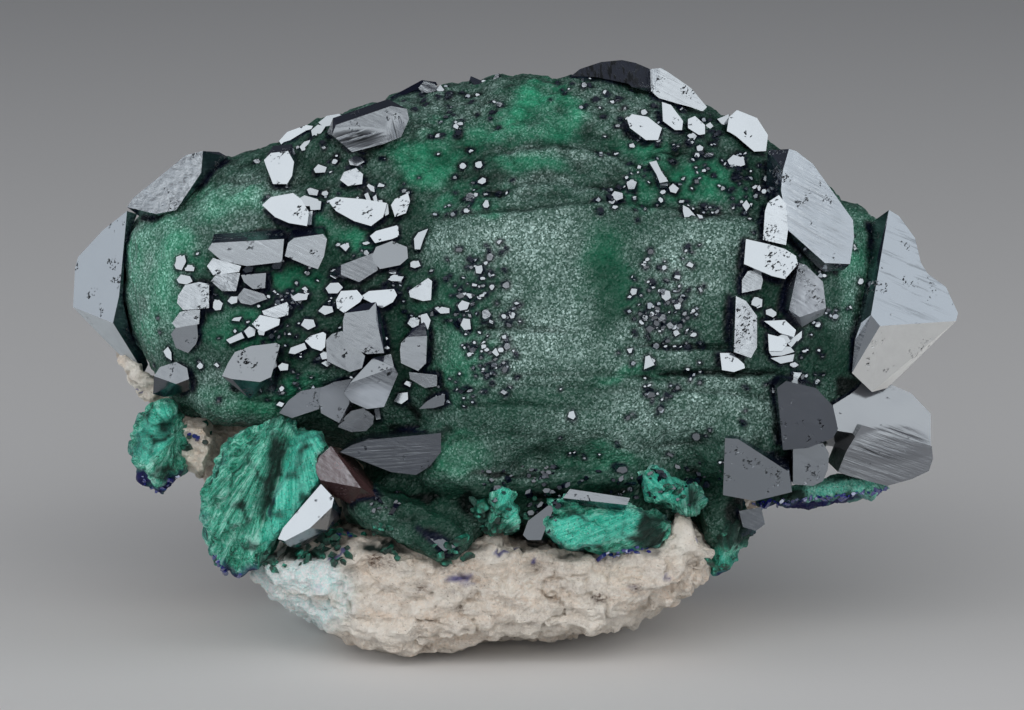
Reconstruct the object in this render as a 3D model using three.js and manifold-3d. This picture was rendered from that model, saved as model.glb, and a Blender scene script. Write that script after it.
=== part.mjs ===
// An azurite and malachite specimen: a velvety dome of malachite on a slab of pale matrix rock, with
// glossy azurite blades in two bands and round its ends, and broken malachite fans below.
// Millimetres, +Z up, the front towards -Y, and the origin under the middle on what it rests on.
import * as THREE from "three";
import { ConvexGeometry } from "three/addons/geometries/ConvexGeometry.js";
import { ImprovedNoise } from "three/addons/math/ImprovedNoise.js";
import { mergeVertices } from "three/addons/utils/BufferGeometryUtils.js";
import Module from "manifold-3d";

const wasm = await Module();
wasm.setup();

// Driving dimensions
const SPECIMEN_WIDTH = 110; // end plate to end plate
const GAP = 0.3; // between a crystal and what it grows from
const CRYSTAL_DEPTH = 7; // how far a blade runs back from its face
const CRYSTAL_STAND = 1; // how far a crystal stands out of the malachite
const STAND_PER_WIDTH = 0.3; // and how much more for its width
const CRYSTAL_TAPER = 0.86; // the width of a crystal's hidden end to its face
const NOTCH_REACH = 60; // how far a notch is cut before and behind the picture plane
const FACING = 1.5; // how much more a small crystal's face turns to the viewer than off its bed
const STRAY = 0.1; // how much its direction strays
const LUMP_HEIGHT = 0.9; // of the druse's lumps
const LUMP_SPACING = 7;
const ROCK_HEIGHT = 1.6; // of the rock's roughness
const ROCK_SPACING = 6;
const FIBRE_HEIGHT = 0.9; // of the broken fans' roughness
const FIBRE_SPACING = 4;
const SMALLEST_PIECE = 0.5; // mm3: a chip that a cut leaves is dropped under this

// The photograph that the outlines are read from. Places are [right, down] in its pixels.
const PHOTO = { width: 1024, height: 710, specimenPixels: 883 };
const MM_PER_PIXEL = SPECIMEN_WIDTH / PHOTO.specimenPixels;

// The place that the photograph was taken from
const VIEW = { distance: 600, elevation: THREE.MathUtils.degToRad(10), middleHeight: 34.5 };
const ACROSS = new THREE.Vector3(1, 0, 0);
const UPWARD = new THREE.Vector3(0, 0, 1);
const TO_VIEWER = new THREE.Vector3(0, -1, 0).applyAxisAngle(ACROSS, -VIEW.elevation);

// The point that shows at a pixel, `depth` mm behind the picture plane through the specimen's middle.
function seen([right, down], depth) {
  const spread = (VIEW.distance + depth) / VIEW.distance;
  return new THREE.Vector3(
    (right - PHOTO.width / 2) * MM_PER_PIXEL * spread,
    depth,
    (PHOTO.height / 2 - down) * MM_PER_PIXEL * spread,
  )
    .applyAxisAngle(ACROSS, -VIEW.elevation)
    .add(new THREE.Vector3(0, 0, VIEW.middleHeight));
}

// Solids and geometry
function toSolid(geometry) {
  const bare = new THREE.BufferGeometry().setAttribute("position", geometry.getAttribute("position"));
  if (geometry.index) bare.setIndex(geometry.index);
  const merged = mergeVertices(bare, 1e-4);
  return new wasm.Manifold(
    new wasm.Mesh({
      numProp: 3,
      vertProperties: new Float32Array(merged.attributes.position.array),
      triVerts: new Uint32Array(merged.index.array),
    }),
  );
}

function toGeometry(solid) {
  const { numProp, vertProperties, triVerts } = solid.getMesh();
  const vertexCount = vertProperties.length / numProp;
  const positions = new Float32Array(vertexCount * 3);
  for (let i = 0; i < vertexCount; i++) {
    positions.set(vertProperties.subarray(i * numProp, i * numProp + 3), i * 3);
  }
  return new THREE.BufferGeometry()
    .setAttribute("position", new THREE.BufferAttribute(positions, 3))
    .setIndex(new THREE.BufferAttribute(new Uint32Array(triVerts), 1));
}

const joined = (solids) => solids.reduce((whole, solid) => whole.add(solid));

// The largest of the bodies that a cut leaves
function largest(solid) {
  const bodies = solid.decompose().filter((body) => body.volume() > SMALLEST_PIECE);
  return bodies.sort((a, b) => b.volume() - a.volume())[0];
}

// Rough closed forms, each filling an outline in the photograph
const noise = new ImprovedNoise();

function roughness(point, { height, spacing }) {
  const { x, y, z } = point;
  const coarse = noise.noise(x / spacing, y / spacing, z / spacing);
  const fine = noise.noise((2.3 * x) / spacing, (2.3 * y) / spacing, (2.3 * z) / spacing);
  return height * (coarse + 0.5 * fine);
}

// How far an outline lies from a centre in a direction, in pixels
function reachOf(outline, [right, down], across, below) {
  let reach = 0;
  for (let i = 0; i < outline.length; i++) {
    const [x1, y1] = outline[i];
    const [x2, y2] = outline[(i + 1) % outline.length];
    const [ex, ey] = [x2 - x1, y2 - y1];
    const slant = across * ey - below * ex;
    if (Math.abs(slant) < 1e-9) continue;
    const along = ((x1 - right) * ey - (y1 - down) * ex) / slant;
    const share = ((x1 - right) * below - (y1 - down) * across) / slant;
    if (along > 0 && share >= -1e-6 && share <= 1 + 1e-6) reach = Math.max(reach, along);
  }
  return reach;
}

// A shelf stands out of the front of a form between its sides, from an arched top edge to its foot.
function shelfRise(shelves, right, down) {
  let rise = 0;
  for (const { from, to, top, crown, foot, out, soft = 12 } of shelves) {
    const share = (right - from) / (to - from);
    const edge = top - crown * 4 * share * (1 - share);
    const inside = Math.min(right - from, to - right, down - edge, foot - down);
    rise += out * THREE.MathUtils.smoothstep(inside, -soft / 2, soft / 2);
  }
  return rise;
}

// An icosahedron's points pushed out to an outline. front and back are mm on each side of its depth,
// and square is 2 for a rounded form and more for one with a flat front.
function form({ centre, outline, depth, front, back, square, detail, shelves = [] }, rough, grow = 0) {
  const geometry = new THREE.IcosahedronGeometry(1, detail);
  const position = geometry.getAttribute("position");
  const middle = seen(centre, depth);
  for (let i = 0; i < position.count; i++) {
    const { x, y, z } = new THREE.Vector3().fromBufferAttribute(position, i).normalize();
    const wide = Math.hypot(x, z);
    const swell = (wide ** square + Math.abs(y) ** square) ** (-1 / square);
    const reach = wide > 1e-6 ? reachOf(outline, centre, x / wide, -z / wide) : 0;
    const right = centre[0] + x * swell * reach;
    const down = centre[1] - z * swell * reach;
    const facing = THREE.MathUtils.clamp(-2 * y, 0, 1);
    const behind = y * swell * (y < 0 ? front : back) - facing * shelfRise(shelves, right, down);
    const point = seen([right, down], depth + behind);
    const outward = point.clone().sub(middle).normalize();
    point.addScaledVector(outward, grow + roughness(point, rough));
    position.setXYZ(i, point.x, point.y, point.z);
  }
  return toSolid(geometry);
}

const DRUSE = { height: LUMP_HEIGHT, spacing: LUMP_SPACING };
const ROCK = { height: ROCK_HEIGHT, spacing: ROCK_SPACING };
const FIBRES = { height: FIBRE_HEIGHT, spacing: FIBRE_SPACING };

// The malachite dome, its shelves from the summit down, and the lobes under it
const DOME_FORMS = [
  {
    centre: [512, 300],
    outline: [
      [126, 300], [125, 240], [136, 212], [172, 190], [212, 164], [262, 150], [300, 127], [345, 110],
      [395, 96], [445, 85], [500, 77], [560, 73], [620, 80], [700, 104], [745, 124], [800, 166],
      [850, 207], [887, 218], [897, 262], [898, 320], [886, 372], [850, 420], [800, 470], [720, 505],
      [560, 505], [470, 500], [380, 470], [290, 435], [190, 425], [160, 392], [143, 350],
    ],
    depth: 0,
    front: 20,
    back: 24,
    square: 2.7,
    detail: 8,
    shelves: [
      { from: 430, to: 660, top: 176, crown: 29, foot: 520, out: 1.5 },
      { from: 455, to: 645, top: 204, crown: 21, foot: 520, out: 1.5 },
      { from: 425, to: 750, top: 224, crown: 21, foot: 384, out: 2.6 },
      { from: 150, to: 424, top: 230, crown: 30, foot: 388, out: 1.1, soft: 24 },
      { from: 752, to: 860, top: 250, crown: 20, foot: 384, out: 1.2, soft: 20 },
      { from: 440, to: 800, top: 388, crown: -6, foot: 456, out: 3.2 },
      { from: 330, to: 430, top: 120, crown: 10, foot: 222, out: 1.6 },
      { from: 650, to: 770, top: 130, crown: 10, foot: 222, out: 1.4 },
    ],
  },
  {
    centre: [262, 398],
    outline: [
      [190, 380], [230, 366], [330, 372], [345, 400], [330, 424], [270, 432], [215, 428],
      [193, 410],
    ],
    depth: -8,
    front: 9,
    back: 10,
    square: 2.4,
    detail: 2,
  },
  {
    centre: [476, 452],
    outline: [[398, 436], [445, 422], [542, 407], [566, 436], [540, 463], [478, 490], [414, 497]],
    depth: -12,
    front: 10.5,
    back: 8,
    square: 3.4,
    detail: 3,
  },
  {
    centre: [540, 484],
    outline: [
      [352, 466], [420, 440], [560, 430], [700, 440], [724, 480], [700, 520], [655, 534], [560, 536],
      [500, 532], [455, 551], [398, 532], [362, 504],
    ],
    depth: -6,
    front: 14,
    back: 8,
    square: 3,
    detail: 3,
  },
  {
    centre: [742, 436],
    outline: [
      [690, 400], [740, 384], [800, 392], [806, 440], [792, 478], [740, 500], [700, 480],
      [680, 440],
    ],
    depth: -8,
    front: 13,
    back: 8,
    square: 2.6,
    detail: 2,
  },
];

// The matrix rock: the broken front, and the slab behind that the dome grew on
const ROCK_FORMS = [
  {
    centre: [392, 592],
    outline: [
      [256, 566], [266, 590], [300, 613], [340, 636], [390, 653], [430, 649], [480, 641], [540, 630],
      [560, 590], [548, 545], [500, 532], [450, 546], [410, 538], [350, 528], [290, 540],
    ],
    depth: -4,
    front: 17,
    back: 25,
    square: 6,
    detail: 4,
  },
  {
    centre: [606, 592],
    outline: [
      [450, 600], [470, 641], [540, 635], [590, 636], [640, 606], [680, 591], [706, 570], [712, 550],
      [702, 530], [684, 512], [668, 526], [644, 545], [600, 555], [550, 543], [480, 548],
    ],
    depth: -5,
    front: 16,
    back: 24,
    square: 6,
    detail: 4,
  },
  {
    centre: [450, 490],
    outline: [
      [124, 366], [152, 404], [196, 452], [222, 500], [262, 572], [330, 622], [420, 648], [600, 634],
      [690, 588], [735, 532], [800, 470], [700, 420], [512, 400], [300, 380],
    ],
    depth: 10,
    front: 12,
    back: 17,
    square: 3,
    detail: 3,
  },
];

// Broken pieces of fibrous malachite
const FANS = {
  left_fan: {
    centre: [258, 505],
    outline: [
      [230, 438], [214, 476], [202, 490], [205, 511], [215, 540], [226, 567], [231, 582], [253, 566],
      [276, 551], [280, 536], [321, 482], [312, 463], [318, 456], [323, 440], [300, 432], [280, 418],
    ],
    depth: -15,
    front: 7,
    back: 9,
    square: 3,
    detail: 3,
  },
  left_ball: {
    centre: [163, 445],
    outline: [
      [138, 424], [144, 410], [160, 403], [175, 407], [185, 420], [200, 436], [189, 456], [185, 472],
      [174, 485], [156, 495], [139, 470], [135, 447],
    ],
    depth: -4,
    front: 8,
    back: 8,
    square: 2.4,
    detail: 2,
  },
  front_chunk: {
    centre: [605, 522],
    outline: [
      [546, 514], [556, 500], [572, 498], [630, 505], [645, 508], [668, 514], [664, 535], [652, 550],
      [600, 557], [560, 546], [544, 530],
    ],
    depth: -17,
    front: 6.5,
    back: 7,
    square: 3,
    detail: 3,
  },
  right_tuft: {
    centre: [668, 492],
    outline: [
      [636, 482], [648, 470], [672, 476], [700, 488], [706, 503], [692, 514], [668, 508],
      [645, 503],
    ],
    depth: -15,
    front: 6,
    back: 6,
    square: 2.6,
    detail: 2,
  },
  centre_tuft: {
    centre: [490, 512],
    outline: [[462, 494], [490, 486], [514, 490], [522, 508], [516, 530], [498, 530], [474, 518]],
    depth: -16,
    front: 6,
    back: 6,
    square: 2.6,
    detail: 2,
  },
  lower_right_lobe: {
    centre: [728, 535],
    outline: [
      [700, 518], [722, 498], [746, 504], [756, 524], [738, 546], [724, 577], [712, 578],
      [712, 545],
    ],
    depth: -10,
    front: 6,
    back: 7,
    square: 2.6,
    detail: 2,
  },
  lower_right_sheet: {
    centre: [828, 488],
    outline: [[752, 503], [795, 486], [848, 474], [874, 474], [896, 489], [868, 497], [810, 503]],
    depth: -7,
    front: 4,
    back: 5,
    square: 2.6,
    detail: 2,
  },
};

function makeDome(grow) {
  return joined(DOME_FORMS.map((shape) => form(shape, DRUSE, grow)));
}

function makeRock(grow) {
  return joined(ROCK_FORMS.map((shape) => form(shape, ROCK, grow)));
}

const rock = largest(makeRock(0).trimByPlane([0, 0, 1], 0));
const rockRoom = makeRock(GAP);
const dome = largest(makeDome(0).subtract(rockRoom));
const bedRoom = makeDome(GAP).add(rockRoom);

// Each fan gives way to the dome, the rock and the fans before it
const fans = {};
let fanRoom = bedRoom;
for (const [name, shape] of Object.entries(FANS)) {
  fans[name] = largest(form(shape, FIBRES).subtract(fanRoom));
  fanRoom = fanRoom.add(form(shape, FIBRES, GAP));
}

// Azurite crystals. face is the outline of the front face, and facets are the corners of the faces
// round it, each with how far it lies behind the face in mm. lean is how many degrees the face turns
// to the right and up, depth is where its middle lies, and both follow the malachite unless given.
const CRYSTALS = [
  {
    name: "left_end_plate",
    face: [
      [127, 211], [103, 230], [78, 257], [75, 269], [73, 307], [113, 323], [119, 296], [117, 273],
      [123, 250],
    ],
    facets: [[100, 335, 2.6], [122, 357, 5], [144, 373, 7], [135, 350, 5.4]],
    depth: -1,
    lean: [-38, 2],
    length: 11,
  },
  {
    name: "upper_left_plate",
    face: [
      [127, 207], [133, 198], [186, 155], [203, 151], [201, 173], [188, 192], [176, 210],
      [156, 214], [140, 208],
    ],
    facets: [[219, 152, 4], [228, 157, 6], [216, 170, 5]],
    depth: -10,
    lean: [-16, 16],
    length: 12,
  },
  {
    name: "long_left",
    face: [[208, 249], [212, 243], [284, 239], [282, 262], [247, 266], [222, 261]],
    facets: [[214, 234, 3], [282, 230, 3]],
    lean: [-4, -3],
    stand: 4,
  },
  {
    name: "long_right",
    face: [
      [288, 243], [294, 238], [323, 234], [327, 239], [324, 256], [318, 269], [308, 266],
      [285, 256],
    ],
    facets: [[292, 230, 3], [323, 228, 3]],
    lean: [10, -3],
    stand: 4,
  },
  {
    name: "left_band_1",
    face: [[207, 266], [213, 258], [229, 264], [241, 266], [239, 272], [213, 275]],
  },
  {
    name: "left_band_2",
    face: [[211, 281], [216, 274], [240, 273], [236, 291], [222, 291]],
  },
  {
    name: "left_band_3",
    face: [[241, 275], [266, 273], [265, 288], [253, 289], [244, 282]],
  },
  {
    name: "left_band_4",
    face: [[178, 296], [185, 285], [199, 282], [209, 284], [209, 308], [183, 310], [177, 303]],
  },
  {
    name: "left_band_5",
    face: [[172, 323], [180, 312], [192, 309], [200, 310], [199, 324], [176, 328]],
  },
  {
    name: "left_band_6",
    face: [[171, 334], [176, 327], [197, 324], [198, 337], [196, 344], [188, 353], [176, 348]],
  },
  {
    name: "left_band_7",
    face: [[237, 297], [244, 288], [264, 294], [267, 299], [251, 305], [241, 303]],
  },
  {
    name: "left_band_8",
    face: [[262, 311], [287, 302], [289, 306], [288, 315], [277, 318], [264, 315]],
  },
  {
    name: "left_band_9",
    face: [[252, 324], [260, 315], [280, 319], [279, 325], [264, 332], [257, 329]],
  },
  {
    name: "left_band_16",
    face: [[336, 300], [341, 291], [357, 290], [363, 297], [360, 302], [344, 313], [337, 308]],
  },
  {
    name: "left_band_17",
    face: [[360, 297], [369, 291], [394, 289], [397, 295], [393, 302], [382, 308], [377, 303]],
  },
  {
    name: "left_band_18",
    face: [[409, 291], [428, 278], [432, 281], [431, 300], [423, 301], [410, 297]],
  },
  {
    name: "left_band_19",
    face: [[341, 265], [373, 253], [372, 263], [378, 270], [359, 282], [341, 275]],
    facets: [[329, 274, 2], [339, 267, 0.8], [339, 277, 0.8]],
  },
  {
    name: "left_band_20",
    face: [
      [372, 256], [376, 247], [392, 241], [407, 247], [408, 258], [400, 265], [380, 269],
      [374, 263],
    ],
  },
  {
    name: "left_band_21",
    face: [[370, 236], [376, 231], [398, 225], [399, 236], [392, 239], [375, 243]],
  },
  {
    name: "spade",
    face: [
      [222, 376], [228, 363], [235, 352], [251, 346], [276, 343], [280, 345], [273, 359],
      [271, 377], [260, 382], [232, 379],
    ],
    facets: [[250, 399, 3.4]],
    lean: [-6, 16],
    stand: 4,
  },
  {
    name: "left_band_24",
    face: [[305, 341], [310, 336], [323, 332], [326, 334], [325, 347], [321, 351], [312, 348]],
  },
  {
    name: "tower_1",
    face: [
      [343, 320], [345, 313], [369, 310], [376, 320], [379, 331], [384, 353], [367, 354],
      [348, 346], [343, 336],
    ],
    facets: [[362, 304, 0.5], [376, 302, 0.6], [380, 311, 0.9], [385, 335, 1.6]],
    stand: 4.5,
  },
  {
    name: "tower_2",
    face: [
      [326, 340], [332, 334], [342, 331], [348, 345], [365, 356], [362, 368], [350, 372],
      [337, 366], [327, 361],
    ],
    lean: [-14, 4],
    stand: 3.4,
  },
  {
    name: "tower_3",
    face: [[350, 383], [394, 367], [398, 374], [384, 407], [367, 409], [351, 402], [344, 393]],
    facets: [[373, 358, 0.6], [391, 354, 0.7]],
    lean: [6, -4],
    stand: 6,
  },
  {
    name: "tower_4",
    face: [
      [321, 388], [334, 382], [351, 379], [350, 395], [349, 404], [339, 418], [339, 423],
      [321, 413], [319, 399],
    ],
    lean: [-12, -6],
    stand: 4.4,
  },
  {
    name: "tower_5",
    face: [[279, 413], [289, 400], [301, 391], [323, 387], [319, 409], [292, 418]],
    lean: [-18, -8],
    stand: 3.6,
  },
  {
    name: "tower_6",
    face: [
      [338, 427], [342, 420], [351, 411], [364, 408], [374, 416], [373, 424], [366, 431],
      [351, 432],
    ],
    lean: [8, -5],
    stand: 4.4,
  },
  {
    name: "tower_7",
    face: [[401, 343], [407, 337], [427, 336], [426, 363], [418, 371], [401, 363], [400, 350]],
    facets: [[413, 328, 0.5], [424, 322, 0.7], [429, 332, 0.9]],
    stand: 4,
  },
  {
    name: "left_band_26",
    face: [[409, 372], [426, 377], [437, 375], [437, 386], [425, 388], [410, 379]],
  },
  {
    name: "left_band_28",
    face: [[419, 409], [426, 402], [434, 397], [445, 394], [444, 405], [434, 408]],
  },
  {
    name: "summit_left_1",
    face: [[279, 141], [287, 132], [306, 125], [313, 126], [302, 144], [283, 147]],
    lean: [-10, 10],
    stand: 3,
  },
  {
    name: "summit_left_2",
    face: [
      [332, 135], [336, 125], [391, 106], [407, 109], [409, 119], [401, 137], [383, 144],
      [352, 152],
    ],
    facets: [[333, 118, 2.4], [388, 99, 2.4]],
    lean: [12, -3],
    stand: 5,
    length: 9,
  },
  {
    name: "summit_left_3",
    face: [
      [264, 160], [271, 153], [288, 151], [294, 162], [292, 176], [287, 184], [273, 184],
      [266, 166],
    ],
    facets: [[273, 146, 2], [292, 144, 2.2], [298, 160, 2.4]],
    lean: [-10, 10],
    stand: 3.4,
  },
  {
    name: "summit_left_4",
    face: [[340, 180], [344, 172], [356, 168], [363, 174], [362, 184], [348, 186]],
  },
  {
    name: "summit_left_5",
    face: [
      [262, 205], [271, 197], [293, 193], [301, 199], [309, 212], [307, 226], [289, 223],
      [275, 217],
    ],
    stand: 3,
  },
  {
    name: "summit_left_6",
    face: [
      [328, 201], [336, 197], [362, 199], [387, 203], [383, 217], [371, 226], [354, 221],
      [336, 211],
    ],
    stand: 3,
  },
  {
    name: "summit_left_7",
    face: [[391, 205], [395, 199], [408, 193], [410, 201], [406, 213], [395, 217]],
  },
  {
    name: "summit_ridge",
    face: [[387, 99], [409, 87], [422, 80], [436, 82], [441, 91], [424, 94], [395, 100]],
    depth: -2,
    lean: [0, 30],
    length: 4,
  },
  {
    name: "crown_plate_1",
    face: [
      [571, 76], [580, 69], [601, 62], [622, 60], [636, 63], [650, 69], [651, 88], [638, 87],
      [607, 82], [587, 85],
    ],
    facets: [[650, 97, 2], [662, 105, 3]],
    depth: -6,
    lean: [4, 46],
    length: 8,
  },
  {
    name: "crown_plate_2",
    face: [
      [650, 69], [662, 68], [675, 79], [691, 88], [707, 107], [703, 111], [679, 111], [662, 101],
      [651, 91],
    ],
    depth: -7,
    lean: [14, 15],
    length: 8,
  },
  {
    name: "summit_right_1",
    face: [[662, 102], [671, 105], [683, 121], [682, 130], [675, 130], [663, 121]],
    lean: [12, 12],
    stand: 2.6,
  },
  {
    name: "summit_right_2",
    face: [[627, 119], [632, 114], [648, 117], [662, 128], [658, 140], [646, 140], [630, 128]],
    lean: [10, 12],
    stand: 2.8,
  },
  {
    name: "summit_right_3",
    face: [[688, 119], [695, 116], [705, 125], [705, 134], [699, 135], [688, 128]],
    lean: [12, 12],
    stand: 2,
  },
  {
    name: "summit_right_5",
    face: [
      [729, 117], [737, 110], [757, 118], [768, 135], [766, 151], [745, 152], [729, 144],
      [727, 130],
    ],
    lean: [12, 9],
    stand: 4.4,
  },
  {
    name: "right_shoulder_plate",
    face: [
      [789, 149], [796, 151], [813, 164], [853, 220], [854, 237], [850, 264], [825, 263],
      [788, 230], [781, 190], [783, 170],
    ],
    facets: [[844, 270, 1.6], [830, 271, 1.6], [768, 150, 3.5], [766, 186, 4]],
    lean: [18, 14],
    stand: 6,
    length: 10,
  },
  {
    name: "right_band_1",
    face: [
      [765, 211], [768, 202], [779, 195], [786, 204], [788, 230], [786, 245], [779, 242],
      [763, 240],
    ],
    lean: [4, 0],
    stand: 4.5,
  },
  {
    name: "right_band_2",
    face: [
      [746, 239], [768, 244], [785, 249], [796, 256], [798, 264], [785, 273], [785, 279],
      [772, 276], [744, 264],
    ],
    stand: 4,
  },
  {
    name: "right_band_3",
    face: [[742, 280], [748, 271], [760, 270], [763, 280], [761, 289], [742, 293]],
  },
  {
    name: "right_band_4",
    face: [
      [799, 263], [806, 265], [823, 282], [826, 308], [800, 317], [789, 310], [796, 290],
      [798, 277],
    ],
    facets: [[802, 327, 2.4], [823, 315, 1.6]],
    stand: 4,
  },
  {
    name: "right_band_5",
    face: [[736, 296], [746, 301], [757, 316], [757, 347], [751, 358], [734, 352], [736, 325]],
    stand: 3.6,
  },
  {
    name: "right_band_6",
    face: [[720, 353], [732, 353], [744, 364], [745, 368], [734, 372], [722, 370]],
  },
  {
    name: "right_band_7",
    face: [[764, 321], [785, 320], [796, 330], [794, 337], [780, 333]],
  },
  {
    name: "right_band_8",
    face: [[768, 334], [784, 338], [787, 345], [782, 351], [769, 351]],
  },
  {
    name: "right_end_plate",
    face: [
      [889, 210], [899, 216], [915, 238], [946, 287], [958, 313], [956, 321], [880, 326],
      [871, 315], [893, 288],
    ],
    facets: [
      [939, 338, 1.8], [911, 366, 3.8], [887, 388, 4.8], [872, 392, 4.6], [852, 373, 3.4],
      [855, 340, 2.2], [861, 323, 1.2],
    ],
    notch: [[915, 238], [921, 263], [928, 274], [946, 287], [975, 270], [960, 230]],
    depth: -12,
    lean: [24, 8],
    length: 10,
  },
  {
    name: "right_band_10",
    face: [
      [777, 388], [786, 381], [816, 388], [833, 406], [838, 429], [833, 438], [808, 448],
      [783, 450], [785, 423],
    ],
    depth: -23,
    lean: [6, -9],
    length: 9,
  },
  {
    name: "lower_right_1",
    face: [[793, 449], [823, 443], [829, 453], [828, 469], [823, 481], [813, 486], [793, 484]],
    depth: -20,
    lean: [4, -8],
  },
  {
    name: "lower_right_2",
    face: [[725, 438], [738, 439], [789, 472], [792, 492], [755, 501], [723, 495], [731, 463]],
    facets: [[728, 432, 2.5]],
    depth: -22,
    lean: [-8, -14],
    length: 9,
  },
  {
    name: "lower_right_3",
    face: [
      [839, 380], [869, 390], [892, 385], [911, 393], [931, 414], [931, 446], [833, 430],
      [833, 406],
    ],
    depth: -10,
    lean: [12, 15],
    length: 9,
  },
  {
    name: "lower_right_4",
    face: [
      [862, 425], [932, 446], [933, 459], [929, 471], [912, 479], [887, 486], [849, 476],
      [838, 472], [846, 452],
    ],
    depth: -13,
    lean: [10, -6],
    length: 9,
  },
  {
    name: "lower_right_5",
    face: [[739, 511], [755, 512], [761, 507], [765, 524], [756, 531], [743, 527]],
    depth: -16,
    lean: [0, 0],
    length: 4,
  },
  {
    name: "dark_wedge",
    face: [[311, 464], [331, 446], [341, 465], [361, 488], [320, 480]],
    facets: [[352, 505, 4], [379, 498, 3.5], [322, 490, 2.5]],
    depth: -24,
    lean: [-16, 4],
    length: 8,
  },
  {
    name: "striated_blade",
    face: [
      [340, 452], [352, 445], [368, 440], [416, 438], [441, 433], [441, 452], [430, 466],
      [416, 475], [391, 472], [363, 456],
    ],
    depth: -23,
    lean: [2, -7],
    length: 8,
  },
  {
    name: "silver_blade",
    face: [[278, 539], [283, 528], [321, 484], [334, 498], [332, 507], [310, 528], [285, 541]],
    facets: [[290, 547, 2.4], [327, 530, 2.6], [338, 512, 2.4]],
    depth: -26,
    lean: [-10, 12],
    length: 7,
  },
  {
    name: "under_left",
    face: [[154, 376], [160, 367], [176, 362], [187, 368], [189, 379], [176, 384], [160, 378]],
    facets: [[153, 394, 3.4], [164, 397, 3.8], [192, 390, 3]],
    depth: -13.5,
    lean: [-14, 14],
    length: 6,
  },
  {
    name: "front_prism",
    face: [[563, 498], [570, 489], [630, 498], [627, 505]],
    depth: -25,
    lean: [0, 20],
    length: 5,
  },
  {
    name: "front_blade",
    face: [[523, 535], [528, 521], [540, 514], [558, 498], [541, 540], [528, 540]],
    depth: -21,
    lean: [-10, 10],
    length: 5,
  },
  {
    name: "dark_prism",
    face: [[418, 528], [430, 531], [456, 547], [444, 551]],
    depth: -23,
    lean: [0, 20],
    length: 4,
  },
];

// What the crystals grow on, for finding how deep each lies and which way it faces
const bed = new THREE.Mesh(toGeometry(joined([dome, rock, ...Object.values(fans)])));
const EYE = seen([PHOTO.width / 2, PHOTO.height / 2], -VIEW.distance);
const raycaster = new THREE.Raycaster();

function surfaceAt(pixel) {
  const sight = seen(pixel, 0).sub(EYE);
  raycaster.set(EYE, sight.clone().normalize());
  return raycaster.intersectObject(bed)[0];
}

function middleOf(face) {
  const middle = [0, 0];
  for (const [right, down] of face) {
    middle[0] += right / face.length;
    middle[1] += down / face.length;
  }
  return middle;
}

// The narrower of an outline's width and height, in mm
function narrowness(face) {
  const across = face.map((corner) => corner[0]);
  const down = face.map((corner) => corner[1]);
  const width = Math.max(...across) - Math.min(...across);
  const height = Math.max(...down) - Math.min(...down);
  return MM_PER_PIXEL * Math.min(width, height);
}

function crystalNormal({ face, lean }, index) {
  if (lean) {
    const [turn, tip] = lean.map(THREE.MathUtils.degToRad);
    return TO_VIEWER.clone().applyAxisAngle(ACROSS, -tip).applyAxisAngle(UPWARD, turn);
  }
  const normal = TO_VIEWER.clone().multiplyScalar(FACING * face.length);
  for (const corner of [...face, middleOf(face)]) {
    const hit = surfaceAt(corner);
    if (hit) normal.add(hit.face.normal);
  }
  const stray = new THREE.Vector3(Math.sin(7.1 * index), 0, Math.cos(5.3 * index) + 0.6);
  return normal.normalize().addScaledVector(stray, STRAY).normalize();
}

// What a crystal's notch takes away: a convex outline, all along the line of sight
function notched(solid, outline) {
  const near = outline.map((pixel) => seen(pixel, -NOTCH_REACH));
  const far = outline.map((pixel) => seen(pixel, NOTCH_REACH));
  return solid.subtract(toSolid(new ConvexGeometry([...near, ...far])));
}

function crystal(entry, index) {
  const { face, facets = [], notch, depth, length = CRYSTAL_DEPTH } = entry;
  const normal = crystalNormal(entry, index);
  const middle = middleOf(face);
  const stand = entry.stand ?? CRYSTAL_STAND + STAND_PER_WIDTH * narrowness(face);
  const origin = depth === undefined
    ? surfaceAt(middle).point.clone().addScaledVector(normal, stand)
    : seen(middle, depth);
  const onFace = (pixel, behind) => {
    const near = seen(pixel, 0);
    const step = seen(pixel, 1).sub(near);
    const away = origin.clone().addScaledVector(normal, -behind).sub(near);
    return near.addScaledVector(step, away.dot(normal) / step.dot(normal));
  };
  const corners = face.map((pixel) => onFace(pixel, 0));
  const hidden = corners.map((corner) =>
    corner.clone().sub(origin).multiplyScalar(CRYSTAL_TAPER).add(origin).addScaledVector(normal, -length),
  );
  const around = facets.map(([right, down, behind]) => onFace([right, down], behind));
  const whole = toSolid(new ConvexGeometry([...corners, ...around, ...hidden]));
  return notch ? notched(whole, notch) : whole;
}

// Crystals that overlap grew together, and each group is named after its first
const groups = [];
for (const [index, entry] of CRYSTALS.entries()) {
  const solid = largest(crystal(entry, index).subtract(fanRoom));
  const touched = groups.filter((group) => group.solid.intersect(solid).volume() > 1e-4);
  const first = touched[0] ?? { name: entry.name, solid };
  for (const group of touched) {
    if (group !== first) groups.splice(groups.indexOf(group), 1);
    first.solid = first.solid.add(group.solid);
  }
  first.solid = first.solid.add(solid);
  if (!touched.length) groups.push(first);
}

const MALACHITE = { color: 0x14573a, roughness: 0.75, metalness: 0 };
const FIBROUS = { color: 0x1c8f5e, roughness: 0.5, metalness: 0 };
const MATRIX = { color: 0xcfc3b0, roughness: 0.9, metalness: 0 };
const AZURITE = { color: 0x121a3c, roughness: 0.18, metalness: 0 };

function piece(name, solid, look) {
  const mesh = new THREE.Mesh(toGeometry(solid), new THREE.MeshStandardMaterial(look));
  mesh.name = name;
  return mesh;
}

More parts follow.
